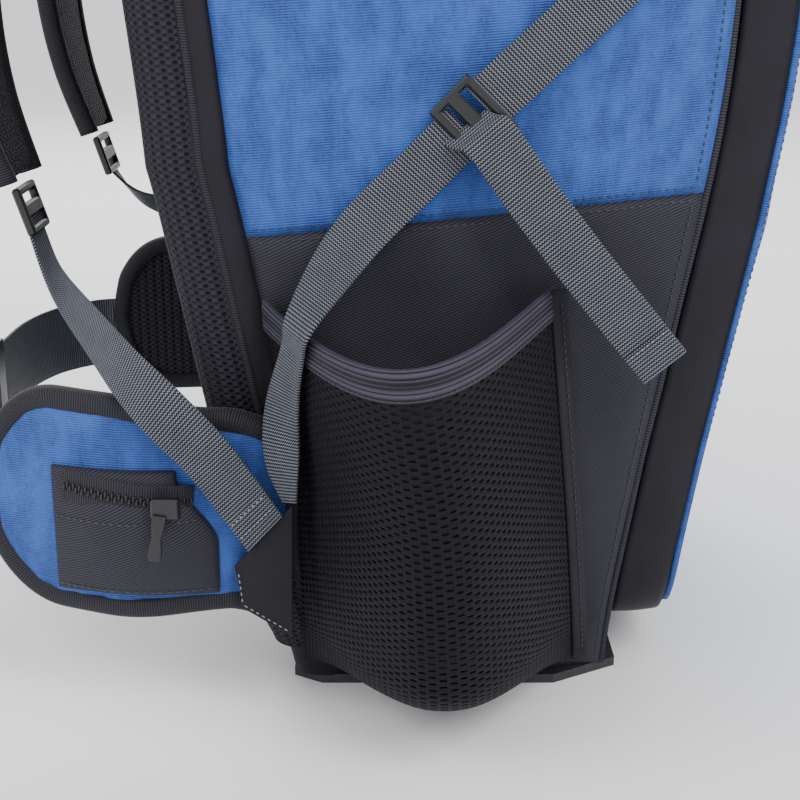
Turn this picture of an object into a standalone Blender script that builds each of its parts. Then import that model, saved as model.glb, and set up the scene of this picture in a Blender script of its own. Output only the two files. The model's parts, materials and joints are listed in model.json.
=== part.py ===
"""Daypack with mesh bottle pockets, built from its separate panels, pads, straps and buckles.

+Z is up, the wearer stands at +Y and faces +Y, the wearer's left is -X. The origin is the centre of the base.
All lengths are metres.
"""

import math

import bmesh
import bpy
from mathutils import Matrix, Vector

# driving dimensions
BODY_HEIGHT = 0.450  # base to mouth
BODY_HALF_WIDTH = 0.143
BASE_HALF_WIDTH = 0.118
BASE_THICKNESS = 0.004
PANEL_THICKNESS = 0.0024
BACK_BAND_DEPTH = 0.024
POCKET_DEPTH = 0.0785  # side pocket, from the side panel to its outermost mesh
POCKET_BOTTOM = 0.014
MESH_THICKNESS = 0.0016
RIM_HEIGHT = 0.0115
RIM_THICKNESS = 0.0022
SIDE_WEBBING = 0.020
BELT_WEBBING = 0.038
STERNUM_WEBBING = 0.015
WEBBING_THICKNESS = 0.0014
STRAP_THICKNESS = 0.012
WING_THICKNESS = 0.012
GAP = 0.0003  # between pieces that touch

LID_HINGE = Vector((0.0, 0.1225, BODY_HEIGHT - 0.013))
HARNESS_HINGE = Vector((0.0, 0.1225, BODY_HEIGHT - 0.058))
STRAP_END = HARNESS_HINGE.z - 0.184  # the lower end of each shoulder strap
WING_HINGE_Y = 0.0805
WING_HINGE_X = BODY_HALF_WIDTH + 0.0145
LOOP_HINGE = Vector((0.0, 0.1165, BODY_HEIGHT - 0.028))
FACE_TOP = BODY_HEIGHT - 0.055  # the front pocket's open edge
LID_SHOULDER = BODY_HEIGHT + 0.018  # where the lid's top turns down into its side band

COLOURS = {
    "blue_nylon": ((0.045, 0.115, 0.42), 0.75),
    "dark_twill": ((0.042, 0.038, 0.055), 0.85),
    "dark_lining": ((0.026, 0.025, 0.034), 0.8),
    "pocket_mesh": ((0.014, 0.012, 0.020), 0.8),
    "rim_elastic": ((0.065, 0.055, 0.080), 0.8),
    "webbing": ((0.090, 0.100, 0.115), 0.8),
    "spacer_mesh": ((0.010, 0.010, 0.013), 0.9),
    "black_plastic": ((0.012, 0.012, 0.014), 0.45),
    "coated_base": ((0.020, 0.020, 0.024), 0.7),
    "frame_board": ((0.30, 0.30, 0.30), 0.5),
}


def ease(t):
    """A smooth step from 0 to 1 as t goes from 0 to 1."""
    t = min(max(t, 0.0), 1.0)
    return t * t * (3 - 2 * t)


def half_width(z):
    return BASE_HALF_WIDTH + (BODY_HALF_WIDTH - BASE_HALF_WIDTH) * ease((z + 0.05) / 0.15) - 0.006 * ease(
        (z - 0.30) / 0.15
    )


def back_seam(z):
    return 0.034 + 0.2 * min(z, 0.22) + 0.010 * ease((z - 0.20) / 0.14)


def front_seam(z):
    return -(0.070 + 0.038 * ease(z / 0.30) - 0.008 * ease((z - BODY_HEIGHT + 0.13) / 0.13))


def clear_scene():
    for item in list(bpy.data.objects):
        bpy.data.objects.remove(item, do_unlink=True)


def make_material(name):
    colour, roughness = COLOURS[name]
    material = bpy.data.materials.new(name)
    material.use_nodes = True
    shader = material.node_tree.nodes["Principled BSDF"]
    shader.inputs["Base Color"].default_value = (*colour, 1.0)
    shader.inputs["Roughness"].default_value = roughness
    shader.inputs["Metallic"].default_value = 0.0
    material.diffuse_color = (*colour, 1.0)
    return material


def finish(bm, name, material, pivot=(0.0, 0.0, 0.0), closed=False):
    """Turns the mesh into an object whose origin is at pivot."""
    if closed:
        bmesh.ops.recalc_face_normals(bm, faces=bm.faces)
    bmesh.ops.translate(bm, verts=bm.verts, vec=-Vector(pivot))
    mesh = bpy.data.meshes.new(name)
    bm.to_mesh(mesh)
    bm.free()
    mesh.materials.append(MATERIALS[material])
    item = bpy.data.objects.new(name, mesh)
    item.location = pivot
    bpy.context.scene.collection.objects.link(item)
    return item


def slab(name, surface, columns, rows, thickness, material, pivot=(0.0, 0.0, 0.0)):
    """A sheet of even thickness whose middle follows surface(u, v), u and v from 0 to 1."""
    bm = bmesh.new()
    bmesh.ops.create_grid(bm, x_segments=columns, y_segments=rows, size=0.5)
    for vert in bm.verts:
        vert.co = surface(vert.co.x + 0.5, vert.co.y + 0.5)
    item = finish(bm, name, material, pivot)
    solidify = item.modifiers.new("thickness", "SOLIDIFY")
    solidify.thickness = thickness
    solidify.offset = 0.0
    return item


def curve_point(points, t):
    """A point on the smooth curve through all the points, t from 0 to 1."""
    spans = len(points) - 1
    position = min(max(t, 0.0), 1.0) * spans
    index = min(int(position), spans - 1)
    local = position - index
    before = points[max(index - 1, 0)]
    start = points[index]
    end = points[index + 1]
    after = points[min(index + 2, spans)]
    return 0.5 * (
        2 * start
        + (end - before) * local
        + (2 * before - 5 * start + 4 * end - after) * local**2
        + (3 * start - before - 3 * end + after) * local**3
    )


def ribbon(name, points, across, width, material="webbing", rows=10, thickness=WEBBING_THICKNESS, pivot=(0, 0, 0)):
    """Webbing through the points, its width along the across vector of each point."""
    path = [Vector(point) for point in points]
    directions = [Vector(item).normalized() for item in across]
    if len(directions) == 1:
        directions = directions * len(path)
    widths = width if isinstance(width, (list, tuple)) else [width] * len(path)
    sizes = [Vector((item, 0.0, 0.0)) for item in widths]

    def surface(u, v):
        direction = curve_point(directions, v).normalized()
        size = curve_point(sizes, v).x
        return curve_point(path, v) + direction * size * (u - 0.5)

    return slab(name, surface, 1, rows, thickness, material, pivot)


def block(name, size, centre, material, pivot=(0, 0, 0), turn=None, bevel=0.0, cutters=()):
    """A bevelled box with box-shaped holes; each cutter is (size, centre) in the box's own axes."""
    turn = turn or Matrix.Identity(3)
    bm = bmesh.new()
    bmesh.ops.create_cube(bm, size=1.0)
    bmesh.ops.scale(bm, vec=size, verts=bm.verts)
    bmesh.ops.transform(bm, matrix=turn.to_4x4(), verts=bm.verts)
    bmesh.ops.translate(bm, vec=centre, verts=bm.verts)
    item = finish(bm, name, material, pivot, closed=True)
    for number, (cut_size, cut_centre) in enumerate(cutters):
        cut = bmesh.new()
        bmesh.ops.create_cube(cut, size=1.0)
        bmesh.ops.scale(cut, vec=cut_size, verts=cut.verts)
        bmesh.ops.translate(cut, vec=cut_centre, verts=cut.verts)
        bmesh.ops.transform(cut, matrix=turn.to_4x4(), verts=cut.verts)
        bmesh.ops.translate(cut, vec=centre, verts=cut.verts)
        cutter = finish(cut, f"cutter_{name}_{number}", material, pivot, closed=True)
        cutter.hide_render = True
        cutter.display_type = "WIRE"
        hole = item.modifiers.new(f"hole_{number}", "BOOLEAN")
        hole.operation = "DIFFERENCE"
        hole.solver = "EXACT"
        hole.object = cutter
    if bevel:
        edge = item.modifiers.new("edge", "BEVEL")
        edge.width = bevel
        edge.segments = 1
        edge.limit_method = "ANGLE"
    return item


def plate(name, outline, thickness, centre, turn, material, pivot=(0, 0, 0)):
    """A flat piece cut to the outline (x, y) and laid at centre with the turn applied."""
    bm = bmesh.new()
    face = bm.faces.new([bm.verts.new((x, y, -thickness / 2)) for x, y in outline])
    grown = bmesh.ops.extrude_face_region(bm, geom=[face])
    raised = [item for item in grown["geom"] if isinstance(item, bmesh.types.BMVert)]
    bmesh.ops.translate(bm, vec=(0, 0, thickness), verts=raised)
    bmesh.ops.transform(bm, matrix=turn.to_4x4(), verts=bm.verts)
    bmesh.ops.translate(bm, vec=centre, verts=bm.verts)
    return finish(bm, name, material, pivot, closed=True)


def axes(right, forward):
    """A turn taking local x to right and local y to forward."""
    x_axis = Vector(right).normalized()
    z_axis = x_axis.cross(Vector(forward)).normalized()
    y_axis = z_axis.cross(x_axis)
    return Matrix((x_axis, y_axis, z_axis)).transposed()


def ladder_lock(name, width, centre, turn, pivot=(0, 0, 0)):
    """A flat buckle with two slots for webbing; local x is along the slots."""
    slot = (width + 0.001, 0.0038, 0.02)
    cutters = ((slot, (0, 0.0048, 0)), (slot, (0, -0.0048, 0)))
    return block(name, (width + 0.007, 0.020, 0.0036), centre, "black_plastic", pivot, turn, 0.0008, cutters)


def female_buckle(name, width, mouth, turn, pivot=(0, 0, 0)):
    """The hollow half of a side-release buckle; its mouth is at the local +y end."""
    length = 0.026
    centre = Vector(mouth) - turn @ Vector((0, length / 2, 0))
    cavity = ((width, 0.0202, 0.0056), (0, 0.0035, 0))
    slot = ((width - 0.001, 0.0034, 0.02), (0, -0.0098, 0))
    return block(name, (width + 0.005, length, 0.0088), centre, "black_plastic", pivot, turn, 0.0010, (cavity, slot))


def male_buckle(name, width, tip, turn, pivot=(0, 0, 0)):
    """The pronged half of a side-release buckle; its prongs point along local +y to the tip."""
    half = width / 2 - 0.0012
    prong = 0.0045
    root = -0.0175
    tail = -0.0290
    outline = (
        (-half, 0),
        (-half + prong, 0),
        (-half + prong, root),
        (half - prong, root),
        (half - prong, 0),
        (half, 0),
        (half, root),
        (half + 0.003, root - 0.002),
        (half + 0.003, tail),
        (-half - 0.003, tail),
        (-half - 0.003, root - 0.002),
        (-half, root),
    )
    return plate(name, outline, 0.0036, Vector(tip), turn, "black_plastic", pivot)


def side_surface(side, low, high):
    """The side panel between two heights; u runs from the front seam to the back seam."""

    def surface(u, v):
        bottom = low(u)
        z = bottom + (high(u) - bottom) * v
        y = front_seam(z) + (back_seam(z) - front_seam(z)) * u
        x = half_width(z) - 0.008 * (1 - u) ** 2 + 0.003 * math.sin(math.pi * u)
        return Vector((side * x, y, z))

    return surface


def seam_height(u):
    """Where the blue upper side panel meets the dark lower one."""
    return 0.194 + 0.016 * (1 - u)


def build_bag():
    reach = BASE_HALF_WIDTH + 0.0105
    corners = (
        (-reach, -0.050),
        (-reach + 0.0165, -0.078),
        (reach - 0.0165, -0.078),
        (reach, -0.050),
        (reach, 0.048),
        (reach - 0.0075, 0.060),
        (-reach + 0.0075, 0.060),
        (-reach, 0.048),
    )
    flat = Matrix.Identity(3)
    plate("base_panel", corners, BASE_THICKNESS, Vector((0, 0, BASE_THICKNESS / 2)), flat, "coated_base")
    foot = BASE_THICKNESS + 3 * GAP
    for side, word in ((-1, "left"), (1, "right")):
        lower = side_surface(side, lambda u: foot, lambda u: seam_height(u) - GAP / 2)
        slab(f"side_lower_{word}", lower, 4, 6, PANEL_THICKNESS, "dark_twill")
        upper = side_surface(side, lambda u: seam_height(u) + GAP / 2, lambda u: BODY_HEIGHT)
        slab(f"side_upper_{word}", upper, 4, 6, PANEL_THICKNESS, "blue_nylon")

    def back(u, v):
        z = foot + (BODY_HEIGHT - foot) * v
        reach = half_width(z) - 0.0002
        start = back_seam(z) + 0.0020
        end = back_seam(z) + BACK_BAND_DEPTH
        stops = (0.0, 0.125, 0.25, 0.75, 0.875, 1.0)
        places = (
            (-reach, start),
            (-reach, end - 0.005),
            (-reach + 0.006, end),
            (reach - 0.006, end),
            (reach, end - 0.005),
            (reach, start),
        )
        for index in range(5):
            if u <= stops[index + 1] + 1e-6:
                part = (u - stops[index]) / (stops[index + 1] - stops[index])
                x = places[index][0] + (places[index + 1][0] - places[index][0]) * part
                y = places[index][1] + (places[index + 1][1] - places[index][1]) * part
                return Vector((x, y, z))
        return Vector((places[5][0], places[5][1], z))

    slab("back_panel", back, 8, 12, 0.0030, "dark_lining")

    def front_wall(u, v):
        z = foot + (BODY_HEIGHT - foot) * v
        reach = half_width(z) - 0.0095
        return Vector((-reach + 2 * reach * u, front_seam(z) - 0.0018, z))

    slab("front_wall", front_wall, 4, 8, PANEL_THICKNESS, "dark_twill")

    def gusset(u, v):
        x, z = gusset_line(u)
        y = front_seam(z) - 0.0048 - 0.0192 * v
        return Vector((x * (1 - 0.035 * v), y, z))

    slab("front_gusset", gusset, 22, 2, PANEL_THICKNESS, "dark_lining")
    slab("front_face", face_surface, 8, 8, PANEL_THICKNESS, "blue_nylon")

    def board(u, v):
        z = 0.020 + (BODY_HEIGHT - 0.050) * v
        return Vector((BASE_HALF_WIDTH * (2 * u - 1), back_seam(z) + 0.0200, z))

    slab("frame_sheet", board, 2, 6, 0.0022, "frame_board")


def gusset_line(u):
    """The front pocket's gusset seen from the front: down one side, along the bottom, up the other."""
    low = 0.022
    corner = 0.030
    straight = FACE_TOP - low - corner
    arc = corner * math.pi / 2
    bottom = 2 * (half_width(low) - 0.012 - corner)
    total = 2 * straight + 2 * arc + bottom
    place = u * total
    flip = -1
    if place > total / 2:
        place = total - place
        flip = 1
    if place <= straight:
        z = FACE_TOP - place
        return flip * (half_width(z) - 0.012), z
    place -= straight
    if place <= arc:
        angle = place / corner
        reach = half_width(low + corner) - 0.012 - corner + corner * math.cos(angle)
        return flip * reach, low + corner - corner * math.sin(angle)
    place -= arc
    reach = bottom / 2 - place
    return flip * max(reach, 0.0), low


def face_y(x, z):
    """The outer middle surface of the front pocket's face."""
    across = 1 - min(abs(x) / (BODY_HALF_WIDTH - 0.013), 1.0) ** 2
    along = math.sin(math.pi * (0.08 + 0.80 * ease(z / (BODY_HEIGHT - 0.030)))) ** 0.7
    return front_seam(z) - 0.0262 - 0.020 * across * along


def face_surface(u, v):
    z = 0.020 + (FACE_TOP - 0.020) * v
    corner = 0.030
    inset = 0.0
    if z < 0.022 + corner:
        inset = corner - math.sqrt(max(corner**2 - (0.022 + corner - z) ** 2, 0.0))
    reach = (half_width(z) - 0.0125 - inset) * 0.975
    x = -reach + 2 * reach * u
    return Vector((x, face_y(x, z), z))


def pocket_profile(side, s, z):
    """The side pocket's plan at height z, s from the back seam round to the front seam."""
    back = 0.055 + 0.0116 * ease((z - 0.09) / 0.08)
    front = -0.0433 - 0.0127 * (0.1766 - z) / 0.1286
    y = back + (front - back) * s
    x = half_width(z) + 0.0058 + POCKET_DEPTH * math.sin(math.pi * s) ** 1.1 * pocket_fill(z)
    return Vector((side * x, y, z))


def pocket_fill(z):
    """How far the pocket stands out at height z, as a share of its full depth."""
    t = min(max((z - POCKET_BOTTOM) / 0.030, 0.0), 1.0)
    return 0.05 + 0.95 * math.sqrt(1 - (1 - t) ** 2)


def outside_pocket(y, z, clearance):
    """How far out a strap lies when it crosses the pocket at y and z."""
    back = pocket_profile(1, 0.0, z).y
    front = pocket_profile(1, 1.0, z).y
    return pocket_profile(1, (y - back) / (front - back), z).x + clearance


def rim_height(s):
    return 0.1715 + 0.005 * s - 0.0082 * math.sin(math.pi * s**0.75)


def build_side_pockets():
    for side, word in ((-1, "left"), (1, "right")):

        def mesh(u, v, side=side):
            top = rim_height(u) - RIM_HEIGHT - GAP
            z = POCKET_BOTTOM + (top - POCKET_BOTTOM) * v**1.4
            return pocket_profile(side, u, z)

        def rim(u, v, side=side):
            z = rim_height(u) - RIM_HEIGHT * (1 - v)
            return pocket_profile(side, u, z)

        slab(f"pocket_mesh_{word}", mesh, 16, 8, MESH_THICKNESS, "pocket_mesh")
        slab(f"pocket_rim_{word}", rim, 16, 1, RIM_THICKNESS, "rim_elastic")


def build_back_pads():
    for side, word in ((-1, "left"), (1, "right")):

        def pad(u, v, side=side):
            z = 0.150 + (BODY_HEIGHT - 0.234) * v
            x = 0.018 + (BODY_HALF_WIDTH - 0.031) * u
            return Vector((side * x, back_seam(z) + BACK_BAND_DEPTH + 0.0096, z))

        slab(f"back_pad_{word}", pad, 3, 5, 0.0125, "spacer_mesh")

    def lumbar(u, v):
        z = 0.030 + 0.112 * v
        x = (BODY_HALF_WIDTH - 0.015) * (2 * u - 1)
        swell = 0.002 * math.sin(math.pi * v)
        return Vector((x, back_seam(z) + BACK_BAND_DEPTH + 0.0090 + swell, z))

    slab("lumbar_pad", lumbar, 6, 3, 0.0125, "spacer_mesh")


def build_lid():
    def lid(u, v):
        s = 2 * u - 1
        t = 2 * v - 1
        reach = max(abs(s), abs(t))
        if reach < 1e-6:
            return Vector((0.0, 0.006, LID_SHOULDER + 0.036))
        corner = 1 / ((abs(s) / reach) ** 16 + (abs(t) / reach) ** 16) ** (1 / 16)
        spread = min(reach / 0.72, 1.0)
        x = (BODY_HALF_WIDTH + 0.0070) * s / reach * corner * spread
        y = 0.006 + 0.1160 * t / reach * corner * spread
        if reach < 0.72:
            z = LID_SHOULDER + 0.036 * (1 - spread**2)
        else:
            hem = BODY_HEIGHT - 0.0095 - 0.014 * ease((0.10 - y) / 0.15)
            z = LID_SHOULDER + (hem - LID_SHOULDER) * (reach - 0.72) / 0.28
        return Vector((x, y, z))

    slab("lid_shell", lid, 12, 12, PANEL_THICKNESS, "blue_nylon", LID_HINGE)
    edge = BODY_HALF_WIDTH - 0.0010
    floor_outline = (
        (-edge, -0.085),
        (-edge * 0.859, -0.104),
        (edge * 0.859, -0.104),
        (edge, -0.085),
        (edge, 0.096),
        (edge * 0.859, 0.114),
        (-edge * 0.859, 0.114),
        (-edge, 0.096),
    )
    flat = Matrix.Identity(3)
    plate("lid_floor", floor_outline, 0.0015, Vector((0, 0, BODY_HEIGHT + 0.0030)), flat, "dark_lining", LID_HINGE)
    start = (-0.108, LID_HINGE.y + 0.0030, BODY_HEIGHT + 0.0060)
    block("lid_zip_slider", (0.009, 0.0036, 0.011), start, "black_plastic", start, bevel=0.0008)
    strap = (
        (0, -0.1120, BODY_HEIGHT + 0.012),
        (0, -0.1140, BODY_HEIGHT - 0.010),
        (0, -0.1300, BODY_HEIGHT - 0.035),
        (0, face_y(0, FACE_TOP - 0.010) - 0.0060, FACE_TOP - 0.010),
        (0, face_y(0, FACE_TOP - 0.025) - 0.0062, FACE_TOP - 0.0365),
    )
    ribbon("lid_strap", strap, ((1, 0, 0),), 0.020, pivot=LID_HINGE)
    down = axes((1, 0, 0), (0, 0, -1))
    line = face_y(0, FACE_TOP - 0.095) - 0.0072
    tip = Vector((0, line, FACE_TOP - 0.0670))
    male_buckle("lid_buckle_male", 0.021, tip, down, tip)
    up = axes((1, 0, 0), (0, 0, 1))
    female_buckle("lid_buckle_female", 0.021, (0, line, FACE_TOP - 0.0700), up)
    anchor = (
        (0, line, FACE_TOP - 0.0970),
        (0, line + 0.001, FACE_TOP - 0.110),
        (0, face_y(0, FACE_TOP - 0.145) - 0.0026, FACE_TOP - 0.145),
        (0, face_y(0, FACE_TOP - 0.195) - 0.0026, FACE_TOP - 0.195),
    )
    ribbon("lid_strap_anchor", anchor, ((1, 0, 0),), 0.020, rows=5)


def build_compression_straps():
    for side, word in ((-1, "left"), (1, "right")):
        path = (
            (side * (BODY_HALF_WIDTH + 0.0242), 0.0570, 0.0965),
            (side * (BODY_HALF_WIDTH + 0.0252), 0.0595, 0.1120),
            (side * (BODY_HALF_WIDTH + 0.0260), 0.0590, 0.1340),
            (side * outside_pocket(0.0540, 0.1580, 0.00749), 0.0540, 0.1580),
            (side * outside_pocket(0.0500, 0.1730, 0.00414), 0.0500, 0.1730),
            (side * (BODY_HALF_WIDTH + 0.0160), 0.0320, 0.1960),
            (side * (BODY_HALF_WIDTH + 0.0070), 0.0090, 0.2180),
            (side * (BODY_HALF_WIDTH + 0.0065), -0.0020, 0.2290),
        )
        across = (
            (side * 0.35, -0.93, 0.05),
            (side * 0.38, -0.92, 0.00),
            (side * 0.75, -0.65, 0.00),
            (side * 0.90, -0.43, -0.10),
            (side * 0.85, -0.50, -0.15),
            (side * 0.35, -0.70, -0.55),
            (0.0, -1.0, -0.90),
            (0.0, -1.0, -1.00),
        )
        widths = [0.006, 0.014] + [SIDE_WEBBING] * 6
        ribbon(f"compression_strap_{word}", path, across, widths, rows=14)
        along = Vector((0, -0.70, 0.72))
        lock_centre = Vector((side * (BODY_HALF_WIDTH + 0.0075), -0.0120, 0.2390))
        turn = axes(Vector((0, 0.72, 0.70)), along)
        ladder_lock(f"compression_lock_{word}", SIDE_WEBBING, lock_centre, turn)
        tail = (
            (side * (BODY_HALF_WIDTH + 0.0130), -0.0160, 0.2350),
            (side * (BODY_HALF_WIDTH + 0.0190), -0.0340, 0.2110),
            (side * (BODY_HALF_WIDTH + 0.0220), -0.0560, 0.1830),
            (side * (BODY_HALF_WIDTH + 0.0220), -0.0835, 0.1495),
        )
        across = ((0, 0.77, -0.64),)
        ribbon(f"compression_tail_{word}", tail, across, SIDE_WEBBING, rows=8)
        tab = (
            (side * (BODY_HALF_WIDTH + 0.0066), -0.0215, 0.2490),
            (side * (BODY_HALF_WIDTH + 0.0050), -0.0400, 0.2660),
            (side * (BODY_HALF_WIDTH + 0.0010), -0.0700, 0.2930),
            (side * (BODY_HALF_WIDTH - 0.0030), -0.0920, 0.3130),
        )
        ribbon(f"compression_tab_{word}", tab, ((0, 0.72, 0.70),), SIDE_WEBBING, rows=5)


def build_hip_belt():
    for side, word in ((-1, "left"), (1, "right")):
        pivot = Vector((side * WING_HINGE_X, WING_HINGE_Y, 0.0))

        def gusset(u, v, side=side):
            y = 0.0605 + 0.0185 * u
            z = 0.046 + 0.006 * u + (0.072 + 0.003 * u) * v
            return Vector((side * (WING_HINGE_X - 0.0045 + 0.0045 * u), y, z))

        slab(f"wing_gusset_{word}", gusset, 2, 3, WING_THICKNESS, "blue_nylon")

        def wing(u, v, side=side):
            y = 0.0820 + 0.0930 * u
            tip = max((u - 0.70) / 0.30, 0.0)
            half = 0.0400 * math.sqrt(max(1 - (0.93 * tip) ** 2, 0.0))
            if u < 0.70:
                half = 0.0350 + 0.0050 * ease(u / 0.5)
            z = 0.0900 + 0.004 * ease(u) + (2 * v - 1) * half
            x = WING_HINGE_X + 0.004 * math.sin(math.pi * u) - 0.012 * ease((u - 0.25) / 0.75)
            return Vector((side * x, y, z))

        slab(f"hip_wing_{word}", wing, 8, 4, WING_THICKNESS, "blue_nylon", pivot)

        def pouch(u, v, side=side):
            z = 0.0590 + (0.046 + 0.003 * u) * v
            start = 0.0860 + 0.0150 * ease((z - 0.078) / 0.028)
            y = start + (0.1480 - start) * u
            share = (y - 0.0820) / 0.0930
            x = WING_HINGE_X + 0.004 * math.sin(math.pi * share) - 0.012 * ease((share - 0.25) / 0.75)
            return Vector((side * (x + WING_THICKNESS / 2 + 0.0040), y, z))

        slab(f"wing_pouch_{word}", pouch, 4, 2, 0.0056, "dark_lining", pivot)
        start = Vector((side * (WING_HINGE_X + 0.0190), 0.1030, 0.0975))
        block(f"wing_zip_slider_{word}", (0.0036, 0.011, 0.008), start, "black_plastic", start, bevel=0.0008)
        belt = (
            (side * (BODY_HALF_WIDTH + 0.0010), 0.1757, 0.0850),
            (side * (BODY_HALF_WIDTH - 0.0050), 0.1900, 0.0850),
            (side * 0.1180, 0.2080, 0.0850),
            (side * 0.0850, 0.2180, 0.0850),
            (side * 0.0445, 0.2200, 0.0850),
        )
        ribbon(f"belt_webbing_{word}", belt, ((0, 0, 1),), BELT_WEBBING, pivot=pivot)
    inward = axes((0, 0, 1), (1, 0, 0))
    left_pivot = Vector((-WING_HINGE_X, WING_HINGE_Y, 0.0))
    female_buckle("belt_buckle_female", 0.040, (-0.0120, 0.2200, 0.0850), inward, left_pivot)
    outward = axes((0, 0, 1), (-1, 0, 0))
    tip = Vector((0.0120, 0.2200, 0.0850))
    male_buckle("belt_buckle_male", 0.040, tip, outward, tip)


def build_harness():
    for side, word in ((-1, "left"), (1, "right")):
        path = (
            (side * 0.0480, 0.1232, HARNESS_HINGE.z),
            (side * 0.0510, 0.1480, HARNESS_HINGE.z + 0.0100),
            (side * 0.0580, 0.1720, HARNESS_HINGE.z - 0.0040),
            (side * 0.0700, 0.1850, HARNESS_HINGE.z - 0.0370),
            (side * 0.0780, 0.1870, HARNESS_HINGE.z - 0.0770),
            (side * 0.0820, 0.1870, HARNESS_HINGE.z - 0.1170),
            (side * 0.0840, 0.1820, HARNESS_HINGE.z - 0.1520),
            (side * 0.0840, 0.1720, STRAP_END),
        )
        across = (
            (side, 0, 0),
            (side, 0, 0.05),
            (side, 0, 0.15),
            (side, 0, 0.12),
            (side, 0, 0.08),
            (side, 0, 0.04),
            (side, 0, 0),
            (side, 0, 0),
        )
        widths = (0.060, 0.064, 0.066, 0.066, 0.062, 0.058, 0.052, 0.042)
        pivot = HARNESS_HINGE
        ribbon(f"shoulder_strap_{word}", path, across, widths, "dark_lining", 14, STRAP_THICKNESS, pivot)
        turn = axes((1, 0, 0), (0, -0.30, -0.95))
        ladder_lock(f"shoulder_lock_{word}", SIDE_WEBBING, Vector((side * 0.0840, 0.1680, STRAP_END - 0.0125)), turn, pivot)
        lower = (
            (side * (BODY_HALF_WIDTH + 0.0252), 0.0665, 0.0840),
            (side * (BODY_HALF_WIDTH + 0.0260), 0.0775, 0.1010),
            (side * (BODY_HALF_WIDTH + 0.0282), 0.0880, 0.1170),
            (side * (BODY_HALF_WIDTH + 0.0292), 0.1020, 0.1330),
            (side * (BODY_HALF_WIDTH + 0.0200), 0.1165, 0.1450),
            (side * (BODY_HALF_WIDTH - 0.0070), 0.1350, 0.1560),
            (side * 0.1060, 0.1540, STRAP_END - 0.0430),
            (side * 0.0960, 0.1620, STRAP_END - 0.0360),
        )
        across = (
            (0, 0.68, -0.73),
            (0, 0.74, -0.67),
            (side * 0.05, 0.74, -0.67),
            (side * 0.30, 0.62, -0.70),
            (side * 0.55, 0.35, -0.75),
            (side * 0.65, 0.10, -0.75),
            (side * 0.85, 0.00, -0.55),
            (side * 0.95, 0.00, -0.30),
        )
        ribbon(f"shoulder_webbing_{word}", lower, across, SIDE_WEBBING, rows=12)
        outline = ((0.0560, 0.0950), (0.0790, 0.0700), (0.0760, 0.0520), (0.0570, 0.0400))
        turn = axes((0, 1, 0), (0, 0, 1))
        centre = Vector((side * (BODY_HALF_WIDTH + 0.0232), 0, 0))
        plate(f"strap_patch_{word}", outline, 0.0014, centre, turn, "dark_lining")

    level = HARNESS_HINGE.z - 0.082
    y = 0.1870 + STRAP_THICKNESS / 2 + 0.0025
    for side, word in ((-1, "left"), (1, "right")):
        centre = Vector((side * 0.0780, y, level))
        block(f"sternum_slider_{word}", (0.022, 0.0032, 0.024), centre, "black_plastic", centre, bevel=0.0008)
        end = 0.0337 if side < 0 else 0.0440
        web = ((side * 0.0664, y, level), (side * 0.0560, y + 0.001, level), (side * end, y + 0.001, level))
        ribbon(f"sternum_webbing_{word}", web, ((0, 0, 1),), STERNUM_WEBBING, rows=4, pivot=centre)
    turn = axes((0, 0, 1), (1, 0, 0))
    female_buckle("sternum_buckle_female", 0.016, (-0.0070, y + 0.001, level), turn, (0, y, level))
    turn = axes((0, 0, 1), (-1, 0, 0))
    tip = Vector((-0.0045, y + 0.001, level))
    male_buckle("sternum_buckle_male", 0.016, tip, turn, tip)

    loop = (
        (-0.0110, 0.1165, LOOP_HINGE.z),
        (-0.0110, 0.1200, LOOP_HINGE.z - 0.0140),
        (-0.0060, 0.1215, LOOP_HINGE.z - 0.0340),
        (0.0060, 0.1215, LOOP_HINGE.z - 0.0340),
        (0.0110, 0.1200, LOOP_HINGE.z - 0.0140),
        (0.0110, 0.1165, LOOP_HINGE.z),
    )
    across = ((-1, 0, 0), (-1, 0, 0.1), (-0.6, 0, -0.8), (0.6, 0, -0.8), (1, 0, 0.1), (1, 0, 0))
    ribbon("haul_loop", loop, across, 0.010, rows=14, pivot=LOOP_HINGE)


clear_scene()
MATERIALS = {name: make_material(name) for name in COLOURS}
build_bag()
build_side_pockets()
build_back_pads()
build_lid()
build_compression_straps()
build_hip_belt()
build_harness()
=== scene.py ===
"""Looks of the daypack: every panel, pad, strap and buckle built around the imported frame, in metres."""

import json
import math

import bmesh
import bpy
from mathutils import Matrix, Vector, noise

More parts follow.
